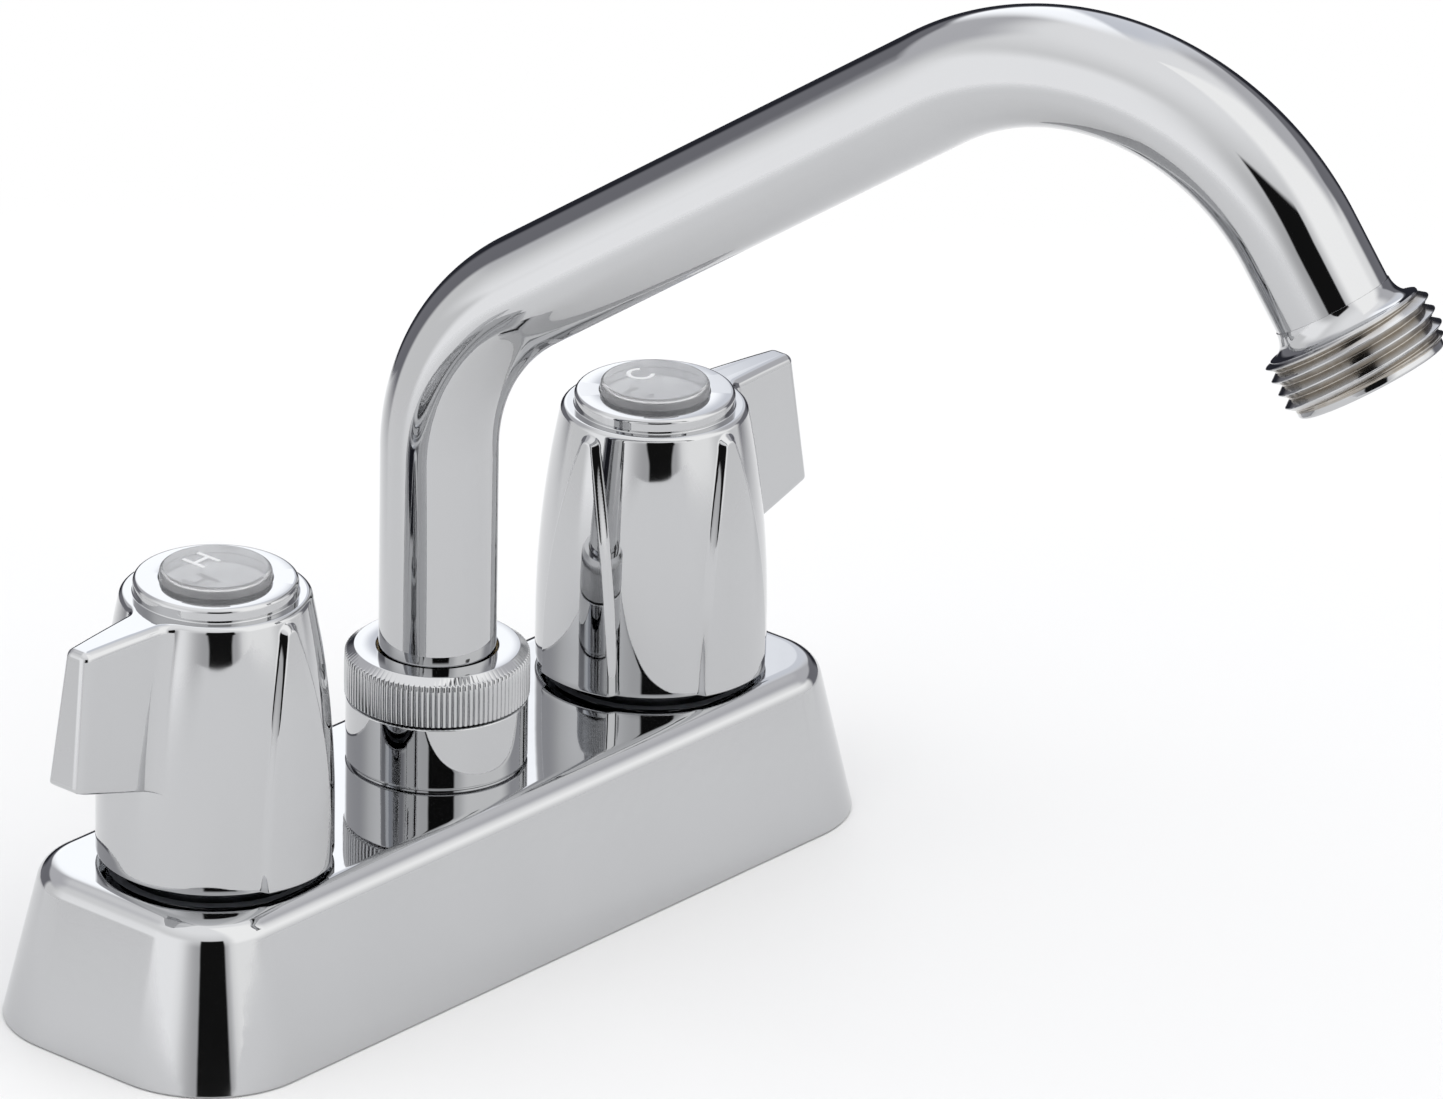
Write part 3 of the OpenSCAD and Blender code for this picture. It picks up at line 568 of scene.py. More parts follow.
def base_profile(s):
    """How far the shell lies inside its outline at the deck, and its height, from the ceiling's
    edge down the inner wall, under the foot and up the outer wall to the top's edge. Both walls
    lean, and end in a rounded edge."""
    slope = s["lean"] / s["base_h"]

    def wall(inset, height, radius, foot):
        """One wall from its foot to the end of its rounded edge."""
        a = np.linspace(math.atan(slope), QUARTER, 17)
        reach = inset + (height - radius) * slope + radius * math.hypot(1, slope)
        arc = points(reach - radius * np.cos(a), height - radius + radius * np.sin(a))
        z = np.linspace(foot, arc[0, 1], 8)[:-1]
        return np.vstack([points(inset + z * slope, z), arc])

    outer = wall(0, s["base_h"], s["edge_r"], FOOT_R)
    inner = wall(s["wall"], s["base_h"] - s["wall"], s["edge_r"] - s["wall"] / 2, 0)
    foot = [[FOOT_R + 0.08, 0.0], [0.6 * FOOT_R, 0.1]]
    return np.vstack([inner[::-1], foot, outer])


def base_shell(s):
    """The shell as a side surface, the profile carried round the outline, and three plates with a
    hole each: every plate runs from the top's edge straight to the hole's rim, down its wall and
    back under the ceiling."""
    core, out, cold = base_outline(s)
    half = len(core)
    core, out = np.vstack([core, -core]), np.vstack([out, -out])
    inset, z = base_profile(s).T
    plan = core[:, None] + out[:, None] * (s["corner_r"] - inset)[:, None]
    edges = plan[:, -1], plan[:, 0]
    patches = [(points(plan[..., 0], plan[..., 1], z), True, False)]

    def divider(edge):
        """Points of the dividing line from the back to the front, without its ends."""
        t = np.linspace(0, 1, DIVIDER_POINTS)[1:-1, None]
        return edge[cold - 1] * (1 - t) + edge[0] * t

    def plate(loops, centre_x, hole):
        """One plate from its boundary loops at the top and at the ceiling."""
        upper, lower = loops
        a = np.arctan2(upper[:, 1], upper[:, 0] - centre_x)
        rim = points(centre_x + hole * np.cos(a), hole * np.sin(a))
        t = np.array(PLATE_ROWS)[:, None, None]
        inward, outward = upper * (1 - t) + rim * t, lower * (1 - t[::-1]) + rim * t[::-1]
        x, y = np.concatenate([inward, outward]).T
        height = np.repeat([s["base_h"], s["base_h"] - s["wall"]], len(t))
        patches.append((points(x, y, height), True, False))

    ends = [np.vstack([edge[:cold], divider(edge)]) for edge in edges]
    plate(ends, s["valve_x"], s["valve_hole_r"])
    plate([-loop for loop in ends], -s["valve_x"], s["valve_hole_r"])
    middle = [
        np.vstack([
            edge[cold - 1:half], -edge[:1], -divider(edge)[::-1], -edge[cold - 1:cold],
            edge[half + cold:], edge[:1], divider(edge)[::-1],
        ])
        for edge in edges
    ]
    plate(middle, 0, s["hub_hole_r"])
    return patches


class FAUCET_OT_base(Operator):
    """Build the leaning chrome shell with its three holes"""

    bl_idname = "faucet.base"
    bl_label = "Base shell"

    def execute(self, context):
        mesh = surface_mesh("base_shell", base_shell(sizes(context.scene.faucet.base)))
        add_piece("base_shell", mesh, "fixed_body", [chrome()], ["escutcheon"])
        return {"FINISHED"}


# Hub, coupling nut and clamp nuts

SEAT_GAP = 0.02                     # between a piece and what it sits on
HUB_BORE, HUB_NECK_R, HUB_FOOT = 9.35, 10.45, 18.7
HUB_GROOVE = 0.55                   # depth of the hub's groove above the shell, and its upper end
COLLAR_R, COLLAR_TOP = 12.9, 41.0   # the hub's threaded collar inside the nut
NUT_BORE, NUT_THREAD_R, NUT_LIP = 9.65, 12.95, 1.2
RING_BORE, RING_H = 12.25, 5.8
HUB_STEPS, RING_STEPS, RIDGE_STEPS = 192, 160, 10


def hub_profile(s):
    """The hub's section: a neck through the shell, a groove, the visible wall and the collar."""
    seat, groove_r = s["base_h"] + SEAT_GAP, s["hub_r"] - HUB_GROOVE
    return rounded_profile([
        (HUB_BORE, HUB_FOOT, 0), (HUB_NECK_R, HUB_FOOT, 0.2), (HUB_NECK_R, seat, 0),
        (groove_r, seat, 0.05), (groove_r, s["base_h"] + 0.35, 0.05),
        (s["hub_r"], s["base_h"] + HUB_GROOVE, 0.2), (s["hub_r"], s["hub_top"], 0.25),
        (COLLAR_R, s["hub_top"], 0), (COLLAR_R, COLLAR_TOP, 0.2), (HUB_BORE, COLLAR_TOP, 0.1),
    ])


def knurled_nut(s):
    """The coupling nut: a turned profile whose outer wall rises and falls in round-topped ridges
    with narrow valleys. A ridge's height is 1 less the third power of the distance from its middle,
    and it fades at both ends of the knurled band."""
    low, high = s["hub_top"] + SEAT_GAP, s["nut_top"]
    valley = s["nut_r"] - s["knurl_depth"]
    profile = rounded_profile([
        (NUT_THREAD_R, low, 0), (valley - 0.7, low, 0.12), (valley, low + 0.45, 0.15),
        (valley, high - 0.95, 0.3), (valley - 1.15, high, 0.35), (NUT_BORE, high, 0.2),
        (NUT_BORE, high - NUT_LIP, 0.1), (NUT_THREAD_R, high - NUT_LIP, 0),
    ], 5)
    upper = int(np.argmax((profile[:, 0] > valley - 0.01) & (profile[:, 1] > low + 2)))
    wall = points(valley, np.linspace(low + 0.5, high - 1.1, 6))
    profile = np.vstack([profile[:upper], wall, profile[upper:]])
    r, z = profile.T
    fade = smooth_step(low + 0.2, low + 0.6, z) * (1 - smooth_step(high - 1.25, high - 0.75, z))
    fade = fade * (r > valley - 0.5)
    steps = s["knurl_count"] * RIDGE_STEPS
    off_middle = np.abs(np.arange(steps)[:, None] / RIDGE_STEPS % 1 * 2 - 1)
    return turned(profile, steps, swell=s["knurl_depth"] * (1 - off_middle ** 3) * fade)


class FAUCET_OT_hub(Operator):
    """Build the hub, the knurled coupling nut and the ring nuts under the handles"""

    bl_idname = "faucet.hub"
    bl_label = "Hub and nuts"

    def execute(self, context):
        s = sizes(context.scene.faucet.base)
        mesh = surface_mesh("spout_hub_ring", [(turned(hub_profile(s), HUB_STEPS), True, True)])
        add_piece("spout_hub_ring", mesh, "fixed_body", [chrome()], ["spout_hub"])
        mesh = surface_mesh("knurled_nut", [(knurled_nut(s), True, True)], 50)
        add_piece("knurled_nut", mesh, "fixed_body", [chrome()], ["coupling_nut"], False)
        low, high = s["base_h"] + SEAT_GAP, s["base_h"] + RING_H
        ring = rounded_profile([
            (RING_BORE, low, 0), (s["clamp_r"], low, 0.25), (s["clamp_r"], high, 0.4),
            (RING_BORE, high, 0.1),
        ])
        for side, word in SIDES:
            grid = turned(ring, RING_STEPS, side * s["valve_x"])
            mesh = surface_mesh(word + "_ring_nut", [(grid, True, True)])
            add_piece(word + "_ring_nut", mesh, "fixed_body", [chrome()],
                      [word + "_clamp_nut"])
        return {"FINISHED"}


# Spout

STRAIGHT_ROWS = (0, 0.004, 0.02, 0.25, 0.5, 0.75, 0.98, 0.996, 1)  # closer near a straight's ends
LOWER_BEND_ROWS, UPPER_BEND_ROWS, TUBE_STEPS = 44, 72, 112


def spout_line(s):
    """Points and headings of the spout's centre line in its upright plane: a straight leg, a bend,
    the climbing arm, the upper bend and the tail. A bend's points lie on its circle."""
    climb, dip = s["arm_climb"], s["outlet_dip"]
    heading, step = [], []

    def straight(direction, run):
        """Adds a straight run."""
        heading.append(np.full(len(STRAIGHT_ROWS) - 1, direction))
        step.append(np.diff(STRAIGHT_ROWS) * run)

    def bend(first, last, radius, steps):
        """Adds chords of a circle from one heading to another."""
        each = (last - first) / steps
        heading.append(first + each * (np.arange(steps) + 0.5))
        step.append(np.full(steps, 2 * radius * math.sin(abs(each) / 2)))

    straight(QUARTER, s["leg_top"] - s["foot_z"])
    bend(QUARTER, climb, s["lower_bend_r"], LOWER_BEND_ROWS)
    straight(climb, s["arm_l"])
    bend(climb, -dip, s["upper_bend_r"], UPPER_BEND_ROWS)
    straight(-dip, s["tail_l"])
    heading, step = np.concatenate(heading), np.concatenate(step)
    moves = points(step * np.cos(heading), step * np.sin(heading))
    foot = np.array([0, s["foot_z"]])
    line = np.vstack([foot, foot + np.cumsum(moves, 0)])
    at_points = np.concatenate([heading[:1], (heading[1:] + heading[:-1]) / 2, heading[-1:]])
    return line, at_points


def spout_axes(s):
    """The spout's direction over the deck and the level direction to its side."""
    a = s["turn"] - QUARTER
    return np.array([math.cos(a), math.sin(a), 0]), np.array([-math.sin(a), math.cos(a), 0])


def along_spout(s, line, heading, radius):
    """A circle carried along the centre line: each point is the centre, plus the radius times the
    cosine of its angle along the line's normal in the plane, plus the radius times the sine along
    the level direction across the plane."""
    ahead, across = spout_axes(s)
    a = np.arange(TUBE_STEPS)[:, None, None] * TURN / TUBE_STEPS
    centre = line[:, :1] * ahead + line[:, 1:] * UP
    normal = np.cos(heading)[:, None] * UP - np.sin(heading)[:, None] * ahead
    return centre + radius * (np.cos(a) * normal + np.sin(a) * across)


class FAUCET_OT_spout(Operator):
    """Build the bent spout tube"""

    bl_idname = "faucet.spout"
    bl_label = "Spout tube"

    def execute(self, context):
        s = sizes(context.scene.faucet.spout)
        line, heading = spout_line(s)
        outer = along_spout(s, line, heading, s["tube_r"])
        inner = along_spout(s, line[::-1], heading[::-1], s["tube_r"] - s["tube_wall"])
        grid = np.concatenate([outer, inner], 1)
        mesh = surface_mesh("spout_pipe", [(grid, True, True)])
        add_piece("spout_pipe", mesh, "spout", [chrome()], ["spout_tube"], False)
        return {"FINISHED"}


HOSE_STEPS, THREAD_ROWS = 224, 190
RUNOUT = math.tan(math.radians(30))  # how far the thread fades, for each unit of its depth
CREST_FLAT = 0.14
FLANK_SHARE = 0.93                   # share of the room between two crests that the flanks take
FLARE_LIP = 0.14                     # step from the tube to the flare
SOCKET_PLAY, END_GAP = 0.05, 0.05
ROOT_WEAR = 1.25                     # how fast the plate thins down a flank


def hose_end(s):
    """The hose end about its own axis, and how worn its plate is at each point: a flare on a
    quarter wave, a band whose radius follows a helical V thread that fades at both ends, a plain
    end and the bored inside. The thread's height at distance z and angle a is a trapezium wave of z
    less the pitch times a over a full turn."""
    depth, pitch, flare_l = s["thread_depth"], s["thread_pitch"], s["flare_l"]
    root, runout = s["thread_r"] - depth, depth * RUNOUT
    first = flare_l + runout
    last = first + s["thread_l"]
    past = last + runout
    end = past + s["lead_l"] - END_GAP
    lip, flare_r = s["tube_r"] + FLARE_LIP, root - 0.25
    q = np.linspace(0, QUARTER, 13)
    neck = [[lip - 0.07, 0.0], [lip - 0.02, 0.02]]
    flare = points(flare_r - (flare_r - lip) * np.cos(q), flare_l * np.sin(q))
    band = points(root, np.linspace(flare_l + 0.05, past + 0.15, THREAD_ROWS))
    bore = s["tube_r"] + SOCKET_PLAY
    tail = rounded_profile([
        (root, past + 0.25, 0), (root, end, 0.45), (s["mouth_r"], end, 0.35),
        (s["mouth_r"], s["socket"], 0), (bore, s["socket"], 0), (bore, 0, 0),
    ])
    runs = (neck, flare, band, tail)
    profile = np.vstack(runs)
    threaded = np.repeat([0, 0, 1, 0], [len(run) for run in runs])
    z = profile[:, 1]
    around = np.arange(HOSE_STEPS)[:, None] / HOSE_STEPS
    off_crest = np.abs(((z - first - CREST_FLAT / 2) / pitch - around + 0.5) % 1 - 0.5) * pitch
    flank = FLANK_SHARE * (pitch - CREST_FLAT) / 2
    height = np.clip((CREST_FLAT / 2 + flank - off_crest) / flank, 0, 1) * threaded
    height = height * smooth_step(flare_l, first + 0.1, z)
    height = height * (1 - smooth_step(last + 0.1, past + 0.05, z))
    worn = threaded * (1 - height) * smooth_step(flare_l, first + 0.3, z)
    return turned(profile, HOSE_STEPS, swell=depth * height), np.clip(worn * ROOT_WEAR, 0, 1)


class FAUCET_OT_hose_end(Operator):
    """Build the hose end with its helical thread"""

    bl_idname = "faucet.hose_end"
    bl_label = "Hose end"

    def execute(self, context):
        s = sizes(context.scene.faucet.spout)
        upright, worn = hose_end(s)
        line, heading = spout_line(s)
        ahead, across = spout_axes(s)
        out = math.cos(heading[-1]) * ahead + math.sin(heading[-1]) * UP
        normal = np.cross(across, out)
        start = line[-1, 0] * ahead + line[-1, 1] * UP - s["socket"] * out
        grid = start + upright @ np.stack([normal, np.cross(out, normal), out])
        mesh = surface_mesh("hose_thread_end", [(grid, True, True)], 50, {"thread_root": worn})
        add_piece("hose_thread_end", mesh, "spout", [thread_plate()], ["hose_end"], False)
        return {"FINISHED"}


# Handles

FILLET, BODY = 12, 560            # columns of a fillet and of the body
BLADE_RUNS = (5, 8, 8, FILLET)    # columns of half a lever: tip, corner, side and fillet
BLADE = sum(BLADE_RUNS)
COLUMNS = 2 * BLADE + BODY
ARCH_PLACES = (0.21, 0.5, 0.79)   # middles of the arch panels, from 0 to 1 along the body
ARCH_NEAR, ARCH_FAR = 0.085, 0.11
SHARPEST = 0.1                    # least rounding of the lever's upright edges
RIM_R = 0.35
SKIRT_ROWS, WALL_ROWS = 21, 61
LEVER_ROWS = (0.04, 0.3, 0.65, 0.96, 1.0)   # out along the lever's underside
SHOULDER_ROWS = (0.03, 0.35, 0.7, 0.97)     # in from the edge to the disc


def body_spread():
    """Where the columns of the body lie between its two fillets, from 0 to 1: three times as close
    together near the arch panels."""
    t = np.linspace(0, 1, 4001)
    near = np.min(np.abs(t[:, None] - np.array(ARCH_PLACES)), 1)
    crowd = np.cumsum(1 + 2 * (1 - smooth_step(ARCH_NEAR, ARCH_FAR, near)))
    crowd = (crowd - crowd[0]) / (crowd[-1] - crowd[0])
    return np.interp(np.linspace(0, 1, BODY), crowd, t)


def flank_radius(s, z):
    """Radius of a handle's side at a height: straight in the skirt, then falling back on a large
    circle."""
    rise = np.maximum(z - s["rim_z"] - s["skirt_h"], 0)
    return s["skirt_r"] - (s["flank_r"] - np.sqrt(s["flank_r"] ** 2 - rise ** 2))


def arch_rise(s, a, z, radius):
    """How far the surface stands above the flank: the height times a soft ramp of the distance
    inside the nearest arch panel. A panel has two circular sides that meet in a round top, and
    stands at each quarter turn but the lever's."""
    beside = np.abs((a + math.pi / 4) % QUARTER - math.pi / 4) * radius
    inset = s["arch_side_r"] - s["arch_w"] / 2
    top = s["shoulder_z"] - s["arch_top_gap"]

    def half_width(height):
        """Half a panel's width at a height."""
        return np.sqrt(s["arch_side_r"] ** 2 - (height - s["rim_z"]) ** 2) - inset

    crown = top - half_width(top)
    inside = half_width(np.minimum(z, crown)) - np.hypot(beside, np.maximum(z - crown, 0))
    rise = s["arch_height"] * even_ramp(-s["arch_step"] / 2, s["arch_step"] / 2, inside)
    return np.where(np.cos(a) > math.cos(math.pi / 4), 0, rise)


def handle_plan(s, z, inset):
    """Outline of the handle with its lever along +X at the heights z, an array of rows by columns,
    drawn in by inset. Going round from the tip's middle: half the tip, its corner, the lever's
    side, the fillet, the body and the same mirrored. The fillet's centre lies its radius outside
    both the side's line and the body's circle."""
    z, inset = np.broadcast_arrays(np.asarray(z, float), np.asarray(inset, float))
    t = np.clip((z - s["shoulder_z"] + s["tip_h"]) / s["tip_h"], -0.5, 1)

    def of_lever(name):
        """A size of the lever at the heights, between those at its foot and at its top."""
        return s[name + "_foot"] + (s[name + "_top"] - s[name + "_foot"]) * t

    body = flank_radius(s, z) - inset
    reach, taper = of_lever("reach") - inset, of_lever("taper")
    norm = np.hypot(1, taper)
    nx, ny = taper / norm, 1 / norm
    line = (of_lever("tip") / 2 - inset + taper * reach) / norm
    fillet, edge = s["fillet_r"] + inset, np.maximum(s["tip_edge_r"] - inset, SHARPEST)
    along = np.sqrt((body + fillet) ** 2 - (line + fillet) ** 2)
    fx, fy = nx * (line + fillet) + ny * along, ny * (line + fillet) - nx * along
    cx = reach - edge
    cy = (line - edge - nx * cx) / ny

    column = np.arange(COLUMNS)
    k = np.minimum(column, COLUMNS - 1 - column)
    ends = np.cumsum(BLADE_RUNS)
    on_tip, on_corner, on_side, on_fillet = (
        (k - end + count) / count for end, count in zip(ends, BLADE_RUNS))
    turn = np.arctan2(ny, nx) * on_corner
    side_x, side_y = cx + edge * nx, cy + edge * ny
    first, last = np.arctan2(-ny, -nx), np.arctan2(-fy, -fx)
    back = first + (last - first) * on_fillet
    blade_x = [
        reach, cx + edge * np.cos(turn), side_x + (fx - fillet * nx - side_x) * on_side,
        fx + fillet * np.cos(back),
    ]
    blade_y = [
        cy * on_tip, cy + edge * np.sin(turn), side_y + (fy - fillet * ny - side_y) * on_side,
        fy + fillet * np.sin(back),
    ]
    mirror = np.where(column < BLADE, 1, -1)

    spread = np.zeros(COLUMNS)
    spread[BLADE:-BLADE] = body_spread()
    start = np.arctan2(fy, fx)
    a = start + (TURN - 2 * start) * spread
    r = body + arch_rise(s, a, z, flank_radius(s, z))
    runs = [k < end for end in ends]
    x = np.select(runs, blade_x, r * np.cos(a))
    y = np.select(runs, [mirror * run for run in blade_y], r * np.sin(a))
    return x, y


def handle_surface(s):
    """Two grids that close each other, the hollow and the outside: columns go round the handle and
    rows go from the stem socket down the hollow to the rim, then up the skirt, out along the
    lever's underside, up its sides, in over the shoulder, up the raised disc and down the cap's
    recess to its middle."""
    rim_z, shoulder, disc_r, foot_r = s["rim_z"], s["shoulder_z"], s["disc_r"], s["foot_edge_r"]
    foot_z = shoulder - s["tip_h"]
    half = np.ones(BLADE)
    half[-FILLET:] = 1 - smooth_step(0, 1, np.arange(FILLET) / FILLET)
    lever = np.concatenate([half, np.zeros(BODY), half[::-1]])
    level = np.ones((1, COLUMNS))

    def under(x):
        """Height of the plane of the lever's underside."""
        return foot_z + s["underside"] * (x - s["reach_foot"])

    def top_at(x):
        """Height of the top: level over the body, then falling on a parabola to the lever's tip."""
        out = np.maximum(x - disc_r, 0) / (s["reach_top"] - disc_r)
        return shoulder - s["crown"] * out ** 2

    def quarter(steps):
        """Rows of a quarter turn."""
        return np.linspace(0, QUARTER, steps + 1)[:, None]

    start = under(handle_plan(s, foot_z * level, 0)[0])
    for _ in range(3):
        x, y = handle_plan(s, start, 0)
        start = np.where(lever > 0, under(x), under(x[0, BLADE]))
    a = np.unwrap(np.arctan2(y, x))
    cos, sin = np.cos(a), np.sin(a)
    root_z = np.where(lever > 0, np.minimum(under(flank_radius(s, start) * cos), start), start)

    def rings(profile):
        """Circles at the columns' angles."""
        r, z = profile[:, :1], profile[:, 1:]
        return points(r * cos, r * sin, z)

    hollow = rings(rounded_profile([
        (0, s["socket_top"], 0), (s["socket_r"], s["socket_top"], 0),
        (s["socket_r"], s["cavity_top"], 0), (s["cavity_r"], s["cavity_top"], 0.4),
        (s["cavity_r"], rim_z, 0.25), (s["skirt_r"] - 1.6, rim_z, 0),
    ], 4))

    q, up = quarter(4), np.linspace(0, 1, SKIRT_ROWS + 1)[1:, None]
    edge_z = rim_z + RIM_R
    z = np.vstack([edge_z * level - RIM_R * np.cos(q), edge_z + (root_z - edge_z) * up])
    back = np.vstack([RIM_R * (1 - np.sin(q)), 0 * up])
    r = flank_radius(s, z)
    r = r - back + arch_rise(s, a, z, r)
    skirt = points(r * cos, r * sin, z)

    x, y = handle_plan(s, start, foot_r * lever)
    root_x, root_y = r[-1:] * cos, r[-1:] * sin
    t = np.array(LEVER_ROWS)[:, None]
    x, y = root_x + (x - root_x) * t, root_y + (y - root_y) * t
    underside = points(x, y, np.where(lever > 0, under(x), start))

    edge = s["edge_r"] + (s["lever_edge_r"] - s["edge_r"]) * lever
    top = top_at(handle_plan(s, shoulder * level, edge)[0]) - edge
    foot = start + foot_r
    up = np.interp(np.linspace(0, 1, WALL_ROWS + 1)[1:, None], (0, 0.6, 1), (0, 0.8, 1))
    low, high = quarter(4)[1:], quarter(8)[1:]
    z = np.vstack([
        foot - foot_r * np.cos(low), foot + (top - foot) * up, top + edge * np.sin(high),
    ])
    inset = np.vstack([
        foot_r * (1 - np.sin(low)) * lever, 0 * up * level, edge * (1 - np.cos(high)),
    ])
    x, y = handle_plan(s, z, inset)
    sides = points(x, y, z)

    t = np.array(SHOULDER_ROWS)[:, None]
    x, y = x[-1:] + (disc_r * cos - x[-1:]) * t, y[-1:] + (disc_r * sin - y[-1:]) * t
    over = points(x, y, top_at(x))

    disc_top, recess = shoulder + s["disc_h"], s["cap_r"] + 0.05
    disc = rounded_profile([
        (disc_r + 0.2, shoulder, 0), (disc_r, shoulder, 0.18), (disc_r, disc_top, 0.75),
        (recess, disc_top, 0.2), (recess, s["cap_foot"], 0), (0, s["cap_foot"], 0),
    ], 8)
    outside = np.concatenate([hollow[-1:], skirt, underside, sides, over, rings(disc[1:])])
    return hollow.transpose(1, 0, 2), outside.transpose(1, 0, 2)


class FAUCET_OT_handles(Operator):
    """Build both handles with their levers"""

    bl_idname = "faucet.handles"
    bl_label = "Handles"

    def execute(self, context):
        faucet = context.scene.faucet
        valve_x = sizes(faucet.base)["valve_x"]
        grids = handle_surface(sizes(faucet.handle))
        casting = moulded("bare_casting", faucet.finish.casting, 0.55, 1800)
        for side, word in SIDES:
            # A half turn points the lever outwards on the hot side
            outwards, valve = np.array([side, side, 1]), np.array([side * valve_x, 0, 0])
            patches = [(grid * outwards + valve, True, False) for grid in grids]
            mesh = surface_mesh(word + "_lever_handle", patches, 45)
            add_piece(word + "_lever_handle", mesh, word + "_control",
                      [casting, chrome()], [word + "_handle"])
        return {"FINISHED"}


# Index caps

STROKE_W, STROKE_DEPTH = 0.7, 0.16
H_HALF_WIDTH, C_RADIUS = 0.36, 0.42                        # shares of the letter's height
C_FIRST, C_LAST, C_POINTS = math.radians(45), math.radians(315), 40
CAP_STEPS = 160


def letter_lines(word, x, y, h):
    """The middle lines of a letter's strokes and the directions across them: two uprights and a
    crossbar for hot, most of a circle for cold."""
    if word == "cold":
        a = np.linspace(C_FIRST, C_LAST, C_POINTS)
        across = points(np.cos(a), np.sin(a))
        return [((x, y) + C_RADIUS * h * across, across)]
    w, bar = H_HALF_WIDTH * h, H_HALF_WIDTH * h - STROKE_W / 2
    upright, level = np.tile([-1, 0], (2, 1)), np.tile([0, -1], (2, 1))
    return [
        (np.array([[x - w, y + h / 2], [x - w, y - h / 2]]), upright),
        (np.array([[x + w, y + h / 2], [x + w, y - h / 2]]), upright),
        (np.array([[x - bar, y], [x + bar, y]]), level),
    ]


def stroke(line, across, low, high):
    """A box's section carried along a line, and drawn together to a point at both ends."""
    section = np.array([[-1, 0], [1, 0], [1, 1], [-1, 1]])
    line, across = (np.concatenate([part[:1], part, part[-1:]]) for part in (line, across))
    spread = np.ones((len(line), 1))
    spread[[0, -1]] = 0
    flat = line[:, None] + across[:, None] * (STROKE_W / 2 * section[:, 0] * spread)[..., None]
    z = low + (high - low) * (section[:, 1] * spread + 0.5 * (1 - spread))
    return points(flat[..., 0], flat[..., 1], z)


class FAUCET_OT_caps(Operator):
    """Build the clear index caps and the letters in them"""

    bl_idname = "faucet.caps"
    bl_label = "Index caps"

    def execute(self, context):
        s = sizes(context.scene.faucet.handle)
        valve_x = sizes(context.scene.faucet.base)["valve_x"]
        top, r, foot = s["cap_top"], s["cap_r"], s["cap_foot"] + SEAT_GAP
        profile = rounded_profile([
            (0, foot, 0), (r - 0.02, foot, 0.2), (r, top - 1.9, 0.1),
            (r, top - 0.12, s["cap_edge_r"]), (r * 0.45, top - 0.02, 3.0), (0, top, 0),
        ], 9)
        for side, word in SIDES:
            x = side * valve_x
            mesh = surface_mesh(word + "_clear_cap", [(turned(profile, CAP_STEPS, x), True, False)])
            add_piece(word + "_clear_cap", mesh, word + "_control", [acrylic()],
                      [word + "_index_button"])
            patches = [
                (stroke(line, across, top - STROKE_DEPTH, top), False, True)
                for line, across in letter_lines(word, x, s["letter_y"], s["letter_h"])
            ]
            mesh = surface_mesh(word + "_letter", patches)
            add_piece(word + "_letter", mesh, word + "_control",
                      [finish_of("frosted_letter", frosted_letter)], (), False)
        return {"FINISHED"}


# Pieces that keep their CAD shape


class FAUCET_OT_inner_parts(Operator):
    """Give the inner and lower pieces their finishes"""

    bl_idname = "faucet.inner_parts"
    bl_label = "Inner parts"

    def execute(self, context):
        finish = context.scene.faucet.finish
        made = {
            "chrome": chrome(),
            "brass": turned_metal("turned_brass", finish.brass, 0.30, 2600),
            "steel": turned_metal("plain_steel", finish.steel, 0.32, 2200),
            "rubber": moulded("black_rubber", finish.rubber, 0.62, 3000),
            "nylon": moulded("white_nylon", finish.nylon, 0.45, 2400),
            "clear_acrylic": acrylic(),
        }
        for row in frame["record"]["subparts"]:
            data = frame["nodes"][row["node"]].data
            data.materials.clear()
            data.materials.append(made[row["material_slot"]])
        return {"FINISHED"}


# Stage

SENSOR_W = 36                                       # millimetres
CLIP_NEAR, CLIP_FAR = 0.05, 60                      # metres
DECK_REACH, DECK_Z = 1200, -0.05                    # millimetres
LAMP_SIZE, LAMP_AT = 1.4, (-0.35, -0.25, 1.7)       # metres
STEEPEST = 0.9999                                   # keeps the arcsine inside its range


def camera_axes(studio):
    """Right, up and back of the camera, from its azimuth, elevation and roll."""
    a, e, r = studio.azimuth, studio.elevation, studio.roll
    right = np.array([math.cos(a), math.sin(a), 0])
    back = np.array([math.sin(a) * math.cos(e), -math.cos(a) * math.cos(e), math.sin(e)])
    up = np.cross(back, right)
    return math.cos(r) * right + math.sin(r) * up, -math.sin(r) * right + math.cos(r) * up, back


